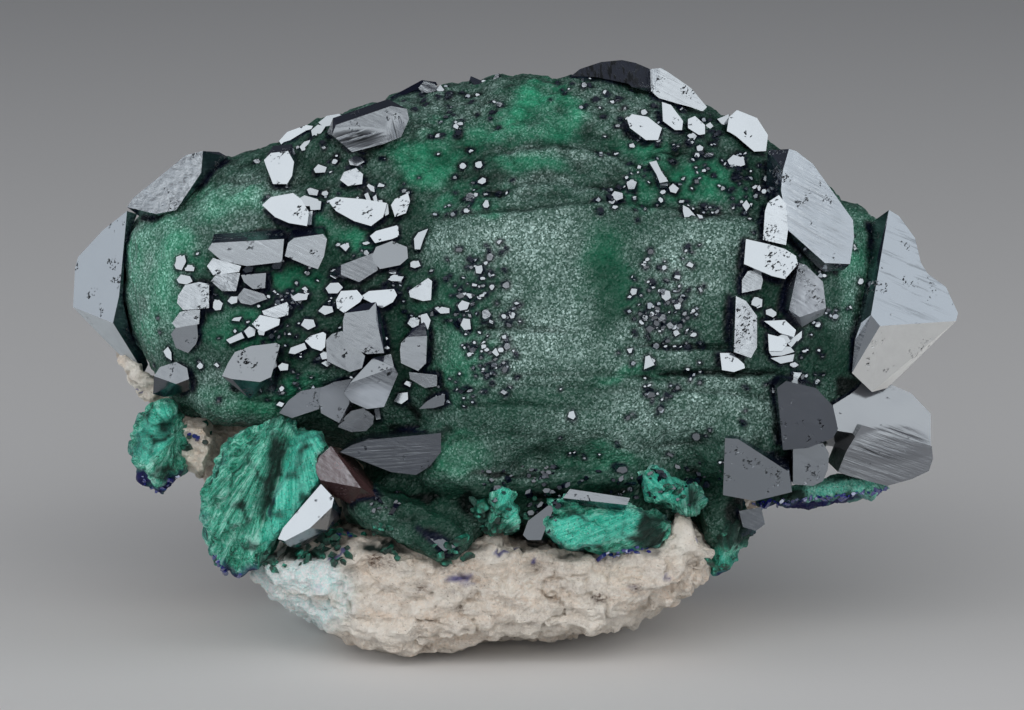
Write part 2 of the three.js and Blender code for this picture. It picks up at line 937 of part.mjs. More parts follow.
const specimen = new THREE.Group();
specimen.name = "azurite_specimen";
specimen.add(piece("matrix_rock", rock, MATRIX));
specimen.add(piece("malachite_dome", dome, MALACHITE));
for (const [name, solid] of Object.entries(fans)) {
  specimen.add(piece(`malachite_${name}`, solid, FIBROUS));
}
for (const { name, solid } of groups) specimen.add(piece(`azurite_${name}`, solid, AZURITE));

// The origin goes under the middle of the whole specimen
const middle = new THREE.Box3().setFromObject(specimen).getCenter(new THREE.Vector3());
for (const mesh of specimen.children) mesh.geometry.translate(-middle.x, -middle.y, 0);

export default specimen;
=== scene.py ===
"""The azurite specimen dressed: druse and ledges on the malachite dome, fibrous fans, broken matrix
rock, glossy azurite crystals with pits and striations, and the crystals too small for solids."""

import math

import bmesh
import bpy
import numpy as np
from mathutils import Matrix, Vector
from mathutils.bvhtree import BVHTree


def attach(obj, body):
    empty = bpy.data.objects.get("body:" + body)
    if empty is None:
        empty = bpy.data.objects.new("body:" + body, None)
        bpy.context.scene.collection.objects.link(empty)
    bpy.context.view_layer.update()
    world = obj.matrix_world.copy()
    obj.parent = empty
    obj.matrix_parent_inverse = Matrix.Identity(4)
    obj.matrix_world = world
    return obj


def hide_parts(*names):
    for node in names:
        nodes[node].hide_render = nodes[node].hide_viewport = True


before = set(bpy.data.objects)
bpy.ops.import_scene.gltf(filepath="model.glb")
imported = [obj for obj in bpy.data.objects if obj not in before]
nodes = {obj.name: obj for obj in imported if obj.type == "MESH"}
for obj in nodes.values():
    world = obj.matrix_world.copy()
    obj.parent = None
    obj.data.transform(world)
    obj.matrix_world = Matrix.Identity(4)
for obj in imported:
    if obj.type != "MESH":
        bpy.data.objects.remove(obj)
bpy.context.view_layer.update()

MM = 0.001
DOME_VOXEL = 0.7 * MM
ROCK_VOXEL = 0.42 * MM
FAN_VOXEL = 0.3 * MM
WORN_EDGE = 0.12 * MM
# How far from crystals the dome swells, and how far painted shade reaches round large and small ones
SWELL_REACH = 1.2 * MM
LARGE_SHADE_REACH = 1.5 * MM
SMALL_SHADE_REACH = 0.55 * MM
AZURITE_IOR = 2.3

# The photograph's viewpoint. Places are (right, down) in its pixels, and depths are metres behind the
# plane through MIDDLE, which shows in the photograph's centre.
PHOTO_WIDTH = 1024
PHOTO_HEIGHT = 710
PIXEL = 110 * MM / 883
DISTANCE = 0.6
ELEVATION = math.radians(10)
MIDDLE = np.array([0.00011, 0.0016854, 0.0345])
SENSOR_MM = 36
LIT_HEIGHT = 0.035


def to_world(right, down, depth):
    """World coordinates of places in the photograph at a depth."""
    spread = (DISTANCE + depth) / DISTANCE
    across = (right - PHOTO_WIDTH / 2) * PIXEL * spread
    up = (PHOTO_HEIGHT / 2 - down) * PIXEL * spread
    back = depth * math.cos(ELEVATION) + up * math.sin(ELEVATION)
    rise = up * math.cos(ELEVATION) - depth * math.sin(ELEVATION)
    return np.stack(np.broadcast_arrays(across, back, rise), -1) + MIDDLE


def to_picture(points):
    """Where points show in the photograph, and their depth."""
    x, y, z = (points - MIDDLE).T
    depth = y * math.cos(ELEVATION) - z * math.sin(ELEVATION)
    up = y * math.sin(ELEVATION) + z * math.cos(ELEVATION)
    spread = (DISTANCE + depth) / DISTANCE
    return PHOTO_WIDTH / 2 + x / (PIXEL * spread), PHOTO_HEIGHT / 2 - up / (PIXEL * spread), depth


EYE = to_world(PHOTO_WIDTH / 2, PHOTO_HEIGHT / 2, -DISTANCE)
TO_VIEWER = np.array([0.0, -math.cos(ELEVATION), math.sin(ELEVATION)])

# Seeded noise on arrays of points


def hashed(grid, seed):
    """A repeatable number from 0 to 1 for each whole-number cell of a grid."""
    a, b, c = (grid[..., i].astype(np.int64) for i in range(3))
    h = (a * 73856093) ^ (b * 19349663) ^ (c * 83492791) ^ (seed * 2654435761)
    h = (h ^ (h >> 13)) * 1274126177
    return ((h ^ (h >> 16)) & 0xFFFFFF) / 0xFFFFFF


def bumps(points, size, seed=0):
    """Smooth noise from -1 to 1 with features of about size metres."""
    p = points / size
    base = np.floor(p).astype(np.int64)
    f = p - base
    f = f * f * (3 - 2 * f)
    total = np.zeros(len(points))
    for i in (0, 1):
        for j in (0, 1):
            for k in (0, 1):
                corner = base + np.array([i, j, k])
                weight = np.abs(1 - i - f[:, 0]) * np.abs(1 - j - f[:, 1]) * np.abs(1 - k - f[:, 2])
                total += weight * hashed(corner, seed)
    return 2 * total - 1


def cells(points, size, seed=0):
    """Distance to the nearest scattered point over size, about 0 to 1, and that point's own number."""
    p = points / size
    base = np.floor(p).astype(np.int64)
    best = np.full(len(points), 9.0)
    own = np.zeros(len(points))
    for i in (-1, 0, 1):
        for j in (-1, 0, 1):
            for k in (-1, 0, 1):
                cell = base + np.array([i, j, k])
                spot = np.stack([hashed(cell, seed + s) for s in (1, 2, 3)], -1) + cell
                d = np.linalg.norm(p - spot, axis=1)
                nearer = d < best
                best[nearer] = d[nearer]
                own[nearer] = hashed(cell, seed + 4)[nearer]
    return best, own


def smoothstep(x, low, high):
    t = np.clip((x - low) / (high - low), 0, 1)
    return t * t * (3 - 2 * t)


def patch(right, down, at, radii):
    """1 in the middle of an oval patch of the picture, fading to 0."""
    d = np.hypot((right - at[0]) / radii[0], (down - at[1]) / radii[1])
    return 1 - smoothstep(d, 0.35, 1.0)


def within(right, down, outline, soft=3.0):
    """1 inside an outline of the picture and 0 outside, with a soft edge in pixels."""
    inside = np.zeros(len(right), bool)
    far = np.full(len(right), 1e9)
    for i, (x1, y1) in enumerate(outline):
        x2, y2 = outline[(i + 1) % len(outline)]
        if y1 != y2:
            crosses = (y1 > down) != (y2 > down)
            inside ^= crosses & (right < (x2 - x1) * (down - y1) / (y2 - y1) + x1)
        length = (x2 - x1) ** 2 + (y2 - y1) ** 2
        t = np.clip(((right - x1) * (x2 - x1) + (down - y1) * (y2 - y1)) / length, 0, 1)
        far = np.minimum(far, np.hypot(right - x1 - t * (x2 - x1), down - y1 - t * (y2 - y1)))
    return smoothstep(np.where(inside, far, -far), -soft, soft)


# Meshes


def prism(outline, near, far, shrink=0.85):
    """A block whose outline shows in the picture, between two depths in mm, its front edges sloped."""
    outline = np.array(outline, float)
    middle = outline.mean(axis=0)
    count = len(outline)
    front = middle + (outline - middle) * shrink
    step = near + 0.35 * (far - near)
    rings = ((front, near), (outline, step), (outline, far))
    points = [p for ring, depth in rings for p in to_world(*ring.T, depth * MM)]
    faces = [tuple(range(count)), tuple(2 * count + i for i in reversed(range(count)))]
    for ring in (0, count):
        for i in range(count):
            j = (i + 1) % count
            faces.append((ring + j, ring + i, ring + count + i, ring + count + j))
    return points, faces


def mesh_arrays(mesh):
    co = np.empty(len(mesh.vertices) * 3, np.float32)
    mesh.vertices.foreach_get("co", co)
    normals = np.empty(len(mesh.vertices) * 3, np.float32)
    mesh.vertex_normals.foreach_get("vector", normals)
    return co.reshape(-1, 3).astype(float), normals.reshape(-1, 3).astype(float)


def set_points(mesh, co):
    mesh.vertices.foreach_set("co", co.astype(np.float32).ravel())
    mesh.update()


def baked(obj):
    """obj with its modifiers applied."""
    graph = bpy.context.evaluated_depsgraph_get()
    mesh = bpy.data.meshes.new_from_object(obj.evaluated_get(graph))
    obj.modifiers.clear()
    obj.data = mesh
    return obj


def link(name, mesh):
    obj = bpy.data.objects.new(name, mesh)
    bpy.context.scene.collection.objects.link(obj)
    return obj


def remeshed(node, name, voxel, smoothing, blocks):
    """A solid and the blocks grown on it as one even fine mesh, with its facets smoothed away in as many
    steps as smoothing says."""
    solid = nodes[node].data
    points = [tuple(v.co) for v in solid.vertices]
    faces = [tuple(p.vertices) for p in solid.polygons]
    for outline, near, far in blocks:
        more_points, more_faces = prism(outline, near, far)
        faces += [tuple(len(points) + i for i in face) for face in more_faces]
        points += [tuple(p) for p in more_points]
    mesh = bpy.data.meshes.new(name)
    mesh.from_pydata(points, [], faces)
    obj = link(name, mesh)
    remesh = obj.modifiers.new("even", "REMESH")
    remesh.mode = "VOXEL"
    remesh.voxel_size = voxel
    smooth = obj.modifiers.new("soften", "SMOOTH")
    smooth.factor = 0.5
    smooth.iterations = smoothing
    return baked(obj)


def refined(obj, chosen):
    """Splits the chosen faces in four."""
    bm = bmesh.new()
    bm.from_mesh(obj.data)
    bm.faces.ensure_lookup_table()
    edges = {e for i in np.flatnonzero(chosen) for e in bm.faces[i].edges}
    bmesh.ops.subdivide_edges(bm, edges=list(edges), cuts=1, use_grid_fill=True)
    bmesh.ops.triangulate(bm, faces=[f for f in bm.faces if len(f.verts) > 4])
    bm.to_mesh(obj.data)
    bm.free()
    obj.data.update()


def face_normals(mesh):
    values = np.empty(len(mesh.polygons) * 3, np.float32)
    mesh.polygons.foreach_get("normal", values)
    return values.reshape(-1, 3)


def add_masks(mesh, **masks):
    for name, values in masks.items():
        layer = mesh.attributes.new(name, "FLOAT", "POINT")
        layer.data.foreach_set("value", np.clip(values, 0, 1).astype(np.float32))


def add_vectors(mesh, name, values):
    layer = mesh.attributes.new(name, "FLOAT_VECTOR", "POINT")
    layer.data.foreach_set("vector", values.astype(np.float32).ravel())


def dress(obj, node, material):
    obj.data.materials.clear()
    obj.data.materials.append(material)
    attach(obj, "root")
    if node:
        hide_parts(node)


# Materials


class Nodes:
    """Short calls for building one material's node tree."""

    def __init__(self, name):
        self.material = bpy.data.materials.new(name)
        self.material.use_nodes = True
        self.tree = self.material.node_tree
        self.shader = self.tree.nodes["Principled BSDF"]
        self.place = self.tree.nodes.new("ShaderNodeTexCoord").outputs["Object"]

    def link(self, source, target):
        self.tree.links.new(source, target)

    def mask(self, name, output="Fac"):
        """Values stored on the mesh under a name."""
        node = self.tree.nodes.new("ShaderNodeAttribute")
        node.attribute_name = name
        return node.outputs[output]

    def facing(self, axis, low, high):
        """0 to 1 as the surface's own direction along an axis goes from low to high."""
        normal = self.tree.nodes.new("ShaderNodeNewGeometry").outputs["True Normal"]
        parts = self.tree.nodes.new("ShaderNodeSeparateXYZ")
        self.link(normal, parts.inputs["Vector"])
        span = self.tree.nodes.new("ShaderNodeMapRange")
        span.inputs["From Min"].default_value = low
        span.inputs["From Max"].default_value = high
        self.link(parts.outputs[axis], span.inputs["Value"])
        return span.outputs["Result"]

    def stretched(self, lengths, turn=(0, 0, 0)):
        """Coordinates drawn out by lengths along axes turned by degrees round x, y and z."""
        node = self.tree.nodes.new("ShaderNodeMapping")
        node.vector_type = "TEXTURE"
        node.inputs["Scale"].default_value = lengths
        node.inputs["Rotation"].default_value = tuple(math.radians(a) for a in turn)
        self.link(self.place, node.inputs["Vector"])
        return node.outputs["Vector"]

    def region(self, centre, radii):
        """1 inside an oval region of space, fading to 0 at its edge."""
        node = self.tree.nodes.new("ShaderNodeMapping")
        node.vector_type = "TEXTURE"
        node.inputs["Location"].default_value = centre
        node.inputs["Scale"].default_value = radii
        self.link(self.place, node.inputs["Vector"])
        far = self.tree.nodes.new("ShaderNodeVectorMath")
        far.operation = "LENGTH"
        self.link(node.outputs["Vector"], far.inputs[0])
        return self.ramp(far.outputs["Value"], [(0.35, (1,)), (1.0, (0,))], smooth=True)

    def noise(self, size, detail=3, vector=None, rough=0.6):
        node = self.tree.nodes.new("ShaderNodeTexNoise")
        node.inputs["Scale"].default_value = 1 / size
        node.inputs["Detail"].default_value = detail
        node.inputs["Roughness"].default_value = rough
        self.link(vector or self.place, node.inputs["Vector"])
        return node.outputs["Fac"]

    def grains(self, size):
        """A colour of its own for each grain of a size."""
        node = self.tree.nodes.new("ShaderNodeTexVoronoi")
        node.inputs["Scale"].default_value = 1 / size
        self.link(self.place, node.inputs["Vector"])
        return node.outputs["Color"]

    def ramp(self, source, stops, smooth=False):
        node = self.tree.nodes.new("ShaderNodeValToRGB")
        ramp = node.color_ramp
        ramp.interpolation = "EASE" if smooth else "LINEAR"
        while len(ramp.elements) < len(stops):
            ramp.elements.new(0.5)
        for element, (position, colour) in zip(ramp.elements, stops):
            element.position = position
            element.color = (*colour, 1) if len(colour) == 3 else (colour[0],) * 3 + (1,)
        self.link(source, node.inputs["Fac"])
        return node.outputs["Color"]

    def rising(self, source, low, high, most=1.0):
        """0 up to low, and most from high on."""
        return self.ramp(source, [(low, (0,)), (high, (most,))])

    def falling(self, source, low, high, most=1.0):
        """most up to low, and 0 from high on."""
        return self.ramp(source, [(low, (most,)), (high, (0,))])

    def mix(self, share, a, b):
        node = self.tree.nodes.new("ShaderNodeMix")
        node.data_type = "RGBA"
        for socket, value in ((node.inputs["Factor"], share), (node.inputs["A"], a), (node.inputs["B"], b)):
            self.put(socket, value)
        return node.outputs["Result"]

    def math(self, operation, a, b=0.0, c=0.0):
        node = self.tree.nodes.new("ShaderNodeMath")
        node.operation = operation
        for socket, value in zip(node.inputs, (a, b, c)):
            self.put(socket, value)
        return node.outputs["Value"]

    def scaled(self, value, factor, plus):
        return self.math("MULTIPLY_ADD", value, factor, plus)

    def put(self, socket, value):
        if isinstance(value, bpy.types.NodeSocket):
            self.link(value, socket)
        elif isinstance(value, tuple):
            socket.default_value = (*value, 1)
        else:
            socket.default_value = value

    def bump(self, height, distance, strength=1.0, under=None):
        node = self.tree.nodes.new("ShaderNodeBump")
        node.inputs["Strength"].default_value = strength
        node.inputs["Distance"].default_value = distance
        self.link(height, node.inputs["Height"])
        if under is not None:
            self.link(under, node.inputs["Normal"])
        return node.outputs["Normal"]

    def finish(self, colour, roughness, normal=None, ior=1.5):
        self.put(self.shader.inputs["Base Color"], colour)
        self.put(self.shader.inputs["Roughness"], roughness)
        self.shader.inputs["IOR"].default_value = ior
        if normal is not None:
            self.link(normal, self.shader.inputs["Normal"])
        return self.material


def malachite_material():
    m = Nodes("malachite_velvet")
    grain = m.grains(0.19 * MM)
    own = m.math("ADD", grain, 0.0)  # the grain's colour as one number
    fine = m.noise(0.6 * MM, 3)
    shade = m.noise(4 * MM, 4)
    dark = m.mix(shade, (0.001, 0.012, 0.0075), (0.004, 0.038, 0.023))
    green = m.mix(fine, (0.003, 0.085, 0.04), (0.016, 0.3, 0.15))
    body = m.mix(m.mask("bright"), dark, green)
    # Pale specks on the druse: partly its own pale tips, partly painted glints
    spark = m.math("POWER", own, 2.6)
    tip_and_glint = m.math("MULTIPLY", m.mask("pale"), m.scaled(spark, 1.0, 0.06))
    frost = m.mix(m.mask("bright"), (0.58, 0.76, 0.73), (0.25, 0.75, 0.55))
    velvet = m.mix(tip_and_glint, body, frost)
    colour = m.mix(m.mask("shadow"), velvet, (0.0006, 0.002, 0.002))
    # Painted dark blue shade round the crystals, from its own mask
    colour = m.mix(m.mask("navy"), colour, (0.003, 0.004, 0.03))
    rough = m.scaled(own, -0.2, 0.55)
    normal = m.bump(own, 0.08 * MM, 0.6)
    m.shader.inputs["Specular IOR Level"].default_value = 0.2
    m.put(m.shader.inputs["Specular IOR Level"], m.scaled(tip_and_glint, 0.6, 0.08))
    return m.finish(colour, rough, normal, ior=1.6)


def fibrous_material(name="malachite_fibres", frost=0.8, sharp=5):
    m = Nodes(name)
    along = m.mask("along", "Vector")
    lines = m.noise(0.22 * MM, 4, along, rough=0.75)
    bundles = m.noise(0.9 * MM, 4, along, rough=0.6)
    fine = m.noise(0.25 * MM, 4, rough=0.7)
    grain = m.grains(0.17 * MM)
    streak = m.scaled(bundles, 1.2, m.scaled(lines, 1.2, -0.7))
    greens = [(0.2, (0.002, 0.045, 0.03)), (0.36, (0.015, 0.25, 0.155)), (0.52, (0.065, 0.54, 0.36))]
    green = m.ramp(streak, [*greens, (0.68, (0.42, 0.86, 0.72))])
    blues = [(0.2, (0.006, 0.25, 0.16)), (0.4, (0.03, 0.55, 0.39)), (0.65, (0.12, 0.8, 0.6))]
    turquoise = m.ramp(streak, blues)
    bright = m.mix(m.mask("bright"), green, turquoise)
    frosted = m.mix(m.math("MULTIPLY", m.math("POWER", grain, sharp), frost), bright, (0.45, 0.85, 0.72))
    deep = m.mix(m.mask("shadow"), frosted, (0.0006, 0.007, 0.005))
    blue = m.mix(m.mask("rim"), deep, (0.008, 0.008, 0.1))
    colour = m.mix(m.falling(fine, 0.33, 0.43, 0.9), blue, (0.0008, 0.012, 0.008))
    rough = m.scaled(fine, 0.3, 0.4)
    fibres = m.math("ADD", lines, bundles)
    normal = m.bump(m.scaled(fine, 1.5, fibres), 0.28 * MM)
    return m.finish(colour, rough, normal, ior=1.4)


def shard_material():
    m = Nodes("malachite_shard")
    broad = m.noise(1.6 * MM, 3)
    fine = m.noise(0.3 * MM, 4)
    greens = [(0.4, (0.001, 0.018, 0.012)), (0.55, (0.008, 0.12, 0.075)), (0.7, (0.05, 0.42, 0.3))]
    colour = m.mix(m.falling(fine, 0.4, 0.5, 0.8), m.ramp(broad, greens), (0.001, 0.014, 0.009))
    return m.finish(colour, 0.45, m.bump(fine, 0.2 * MM), ior=1.5)


def matrix_material():
    m = Nodes("matrix_rock")
    broad = m.noise(6 * MM, 5)
    grain = m.noise(0.5 * MM, 6, rough=0.85)
    sugar = m.grains(0.22 * MM)
    layers = m.noise(1.1 * MM, 5, m.stretched((4, 2, 1), (0, 12, 0)), rough=0.7)
    cream = m.mix(m.rising(broad, 0.38, 0.62), (0.9, 0.74, 0.6), (1, 0.93, 0.82))
    banded = m.mix(m.rising(layers, 0.42, 0.58, 0.8), cream, (0.9, 0.84, 0.76))
    grained = m.mix(m.rising(grain, 0.5, 0.62), banded, (0.98, 0.94, 0.86))
    sugared = m.mix(m.math("MULTIPLY", sugar, 0.3), grained, (0.36, 0.27, 0.2))
    dust = m.falling(m.noise(1.1 * MM, 6, rough=0.8), 0.4, 0.5, 0.35)
    dusty = m.mix(dust, sugared, (0.42, 0.34, 0.27))
    # Partly the rock's own white, partly painted highlight
    chalky_and_lit = m.mix(m.mask("white"), dusty, (1, 0.95, 0.86))
    fine = m.noise(0.28 * MM, 4, m.stretched((2.2, 1, 1), (0, 10, 0)), rough=0.75)
    speckled = m.mix(m.falling(fine, 0.3, 0.39, 0.95), chalky_and_lit, (0.2, 0.14, 0.09))
    rusty = m.math("MULTIPLY", m.mask("stain"), m.ramp(fine, [(0.42, (1,)), (0.58, (0.25,))]))
    stained = m.mix(rusty, speckled, (0.075, 0.03, 0.012))
    crust = m.mix(m.rising(grain, 0.4, 0.55), (0.62, 0.9, 0.87), (1, 1, 1))
    mint = m.mix(m.mask("mint"), stained, crust)
    shaded = m.mix(m.mask("shade"), mint, (0.003, 0.014, 0.01))
    blue = m.mix(m.mask("blue"), shaded, (0.01, 0.012, 0.22))
    height = m.scaled(sugar, 0.2, m.math("ADD", grain, fine))
    normal = m.bump(height, 0.35 * MM)
    return m.finish(blue, 0.8, normal, ior=1.45)


# Patches of pale frost on crystals: place in the picture, depth and radii in mm, colour
FROSTED = [
    ((811, 295), -14, (3.6, 30, 7), (0.27, 0.29, 0.32)),
    ((374, 392), -20, (4, 30, 2.4), (0.2, 0.22, 0.25)),
    ((318, 404), -19, (8.5, 30, 4), (0.11, 0.12, 0.14)),
]
# The colour of azurite below its shine
INK = (0.0015, 0.002, 0.008)


def azurite_material(name, stripes=(), shine=1.0, tone=0.0, under=None, pits=0.22, base=INK):
    """stripes holds growth lines, under is the colour of pale painted light on the downward faces,
    tone is added to the colour below the shine, and pits is the share of the faces with pits."""
    m = Nodes(name)
    broad = m.noise(3 * MM, 3)
    where = m.rising(m.noise(2.4 * MM, 2), 0.62 - 0.2 * pits, 0.7 - 0.2 * pits)
    dash = m.noise(0.27 * MM, 2, m.stretched((1.8, 1, 1), (0, -35, 0)))
    pit = m.math("MULTIPLY", m.rising(dash, 0.57, 0.63), where)
    dark = pit
    normal = m.bump(m.math("SUBTRACT", 1.0, pit), 0.25 * MM)
    normal = m.bump(m.noise(2.6 * MM, 2), 0.05 * MM, 0.6, normal)
    faint = m.noise(0.5 * MM, 2, m.stretched((20, 1, 1), (0, 26, 0)))
    normal = m.bump(faint, 0.03 * MM, 0.5, normal)
    for turn, size, depth, centre, radii, share, darkness in stripes:
        here = m.region(centre, radii)
        lines = m.noise(size, 3, m.stretched((22, 5, 1), turn))
        cut = m.math("MULTIPLY", m.falling(lines, share - 0.05, share + 0.03), here)
        dark = m.math("MAXIMUM", dark, m.math("MULTIPLY", cut, darkness))
        normal = m.bump(m.math("MULTIPLY", lines, here), depth, 1.0, normal)
    body = m.mix(broad, tuple(c + tone for c in base), tuple(2 * c + tone for c in base))
    if under:
        # Painted light: the downward faces get the pale under colour, mottled
        below = m.facing("Z", -0.12, -0.3)
        lit_underside = m.mix(m.noise(1.2 * MM, 4), under, tuple(0.8 * c for c in under))
        body = m.mix(below, body, lit_underside)
    for at, depth, radii, frosted in FROSTED:
        centre = tuple(float(v) for v in to_world(*at, depth * MM))
        body = m.mix(m.region(centre, tuple(r * MM for r in radii)), body, frosted)
    colour = m.mix(dark, body, (0.0005, 0.0005, 0.001))
    roughness = m.scaled(dark, 0.5, m.scaled(broad, 0.2, 0.06))
    m.shader.inputs["Specular IOR Level"].default_value = shine
    m.put(m.shader.inputs["Specular IOR Level"], m.scaled(dark, -0.9 * shine, shine))
    m.shader.inputs["Specular Tint"].default_value = (0.86, 0.94, 1.0, 1)
    return m.finish(colour, roughness, normal, ior=AZURITE_IOR)


def growth_lines(turn, size_mm, depth_mm, at, depth_behind, radii_mm, share=0.42, darkness=0.95):
    """Lines turned by degrees, in an oval region round a place in the picture. share of the region is
    cut dark."""
    radii = tuple(r * MM for r in radii_mm)
    centre = tuple(float(v) for v in to_world(*at, depth_behind * MM))
    return (0, turn, 0), size_mm * MM, depth_mm * MM, centre, radii, share, darkness


LOOK = {
    "malachite": malachite_material(),
    "fibrous": fibrous_material(),
    "sheet": fibrous_material("malachite_sheet", 1.0, 1.3),
    "shard": shard_material(),
    "matrix": matrix_material(),
    "azurite": azurite_material("azurite", shine=0.95),
    "grey": azurite_material("azurite_grey", shine=0.48),
    "dull": azurite_material("azurite_dull", shine=0.24, pits=0),
    "small": azurite_material("azurite_small", pits=-1, shine=0.8),
    "violet": azurite_material("azurite_violet", pits=-1, shine=0.5, base=(0.012, 0.014, 0.12)),
}
# Crystals with a look of their own: growth lines, duller faces, painted light on undersides
GREY = ["spade", "left_band_19", "tower_1", "tower_7", "left_band_3", "front_prism", "under_left"]
DULL = ["front_blade", "dark_prism", "summit_ridge", "lower_right_5"]
OWN_LOOK = {
    "lower_right_3": azurite_material(
        "azurite_stepped",
        stripes=[
            growth_lines(21, 0.45, 0.2, (890, 446), -13, (6, 40, 2.3), 0.4),
            growth_lines(21, 0.5, 0.08, (880, 465), -13, (9, 40, 4), 0.4, 0.25),
        ],
        shine=0.48,
        tone=0.07,
        pits=0,
    ),
    "right_shoulder_plate": azurite_material(
        "azurite_lined",
        stripes=[growth_lines(28, 0.5, 0.05, (812, 205), -8, (6, 40, 9), 0.4, 0.2)],
        pits=0.25,
    ),
    "right_end_plate": azurite_material(
        "azurite_ribbed",
        stripes=[growth_lines(24, 0.5, 0.05, (915, 270), -12, (7, 40, 9), 0.42, 0.3)],
        under=(0.78, 0.76, 0.72),
        shine=0.98,
        pits=0.05,
    ),
    "right_band_10": azurite_material("azurite_dark_face", shine=0.42, pits=0.3),
    "left_end_plate": azurite_material("azurite_left_end", under=(0.48, 0.52, 0.55), shine=0.78, pits=0.05),
    "summit_left_2": azurite_material(
        "azurite_fluted",
        stripes=[
            growth_lines(-17, 0.45, 0.4, (358, 122), -5, (5, 40, 1.4), 0.52),
            growth_lines(-17, 0.4, 0.1, (372, 136), -5, (5, 40, 2), 0.38, 0.6),
            growth_lines(76, 0.35, 0.2, (399, 120), -5, (1.6, 40, 2.8), 0.45, 0.7),
        ],
        shine=0.55,
        pits=0,
    ),
    "striated_blade": azurite_material(
        "azurite_dark",
        stripes=[growth_lines(-3, 0.35, 0.05, (392, 456), -23, (9, 40, 3), 0.4, 0.5)],
        shine=0.4,
        pits=0,
        tone=0.002,
    ),
    "dark_wedge": azurite_material("azurite_brown", shine=0.5, pits=0, base=(0.05, 0.026, 0.026)),
    "crown_plate_1": azurite_material(
        "azurite_crown",
        stripes=[growth_lines(84, 0.4, 0.5, (607, 74), -6, (7, 40, 6), 0.48)],
        shine=0.9,
        tone=0.012,
    ),
}

# The malachite dome

# Ledges across the dome: (left, right) ends, the height at the ends, how far the middle rises above
# them, in pixels, how proud the lip below stands and how deep the groove above cuts, in mm
LEDGES = [
    (425, 750, 224, 21, 0.9, 0.6), (468, 642, 206, 24, 0.7, 0.5), (450, 655, 174, 27, 0.8, 0.5),
    (428, 575, 334, 3, 0.25, 0.8), (620, 760, 344, -3, 0.25, 0.7), (470, 690, 381, 3, 0.25, 0.8),
    (640, 800, 376, 4, 0.5, 1.0), (436, 620, 395, 6, 0.3, 0.7), (428, 620, 418, 10, 0.4, 0.7),
    (560, 800, 404, 14, 0.4, 0.35), (190, 345, 392, -10, 0.4, 0.5), (640, 790, 452, 8, 0.4, 0.4),
    (330, 425, 224, 8, 0.3, 0.5), (655, 770, 222, 8, 0.3, 0.5), (380, 470, 152, 10, 0.6, 0.6),
    (640, 700, 160, 8, 0.5, 0.5),
]


def ledge_relief(right, down, wander, ragged):
    """How far the ledges stand out, in mm, and where their grooves get painted shade and their crests a
    painted highlight.
    """
    relief = np.zeros(len(right))
    dark = np.zeros(len(right))
    crest_highlight = np.zeros(len(right))
    for left, end, level, crown, lip, groove in LEDGES:
        share = (right - left) / (end - left)
        edge = level - crown * 4 * share * (1 - share) + 3 * wander + 1.5 * ragged
        below = down - edge
        inside = smoothstep(share, -0.04, 0.2) * (1 - smoothstep(share, 0.8, 1.04))
        inside *= 0.6 + 0.5 * wander
        inside = np.clip(inside, 0, 1)
        proud = np.exp(-np.clip(below, 0, None) / 13) * smoothstep(below, -1.5, 2.5)
        cut = np.exp(-((below + 2.5) ** 2) / 9)
        relief += inside * (lip * proud - groove * cut)
        soft = np.exp(-np.clip(-below, 0, None) / 9) * (below < 0)
        # Painted shade in each groove, fading out above it
        dark += inside * np.clip(groove, 0, 1) * (0.9 * np.exp(-((below + 1.5) ** 2) / 5) + 0.4 * soft)
        # Painted highlight on each lip below its groove
        crest_highlight += inside * lip * np.exp(-np.clip(below, 0, None) / 9) * (below > 0)
    return relief, dark, crest_highlight


# Oval patches of the dome: place and radii in the picture, then how strong
BRIGHT_PATCHES = [
    ((520, 105), (38, 26), 1.0), ((560, 120), (50, 34), 0.85), ((505, 128), (42, 24), 0.8),
    ((545, 88), (40, 12), 0.6), ((420, 160), (55, 32), 0.75), ((465, 135), (50, 24), 0.6),
    ((520, 170), (60, 16), 0.6), ((460, 200), (50, 16), 0.5), ((680, 185), (80, 34), 0.7),
    ((640, 150), (40, 30), 0.6), ((160, 270), (50, 100), 0.5), ((215, 200), (60, 30), 0.5),
    ((240, 330), (60, 30), 0.6), ((270, 400), (90, 25), 0.65), ((860, 260), (40, 70), 0.45),
    ((290, 285), (40, 20), 0.7), ((355, 232), (40, 20), 0.7), ((440, 450), (60, 30), 0.5),
    ((600, 270), (40, 60), 0.3), ((450, 330), (60, 90), 0.3), ((640, 375), (50, 14), 0.4),
    ((600, 460), (60, 20), 0.4),
]
PALE_PATCHES = [
    ((500, 240), (110, 40), 1.0), ((545, 290), (70, 70), 0.85), ((700, 260), (80, 60), 1.0),
    ((520, 345), (110, 60), 0.85), ((640, 340), (60, 50), 0.8), ((690, 410), (130, 45), 0.95),
    ((620, 430), (120, 40), 0.8), ((155, 265), (55, 110), 1.0), ((235, 200), (80, 45), 0.9),
    ((865, 280), (45, 90), 0.7), ((545, 156), (80, 12), 0.8), ((545, 190), (70, 10), 0.8),
    ((470, 110), (120, 40), 0.5), ((620, 110), (70, 40), 0.5), ((500, 455), (110, 30), 0.5),
    ((210, 395), (40, 30), 0.7),
]
DARK_PATCHES = [
    ((600, 275), (34, 70), 0.75), ((830, 350), (60, 45), 0.85), ((765, 310), (30, 80), 0.5),
    ((300, 345), (120, 50), 0.75), ((300, 290), (110, 50), 0.6), ((400, 300), (40, 140), 0.7),
    ((520, 500), (220, 28), 1.0), ((520, 456), (110, 26), 0.6), ((430, 520), (60, 40), 0.75),
    ((700, 490), (60, 40), 0.8), ((360, 470), (40, 40), 0.8), ((250, 215), (60, 16), 0.5),
    ((680, 165), (60, 60), 0.35), ((470, 175), (24, 40), 0.5), ((475, 310), (50, 60), 0.35),
    ((740, 160), (30, 60), 0.4),
]
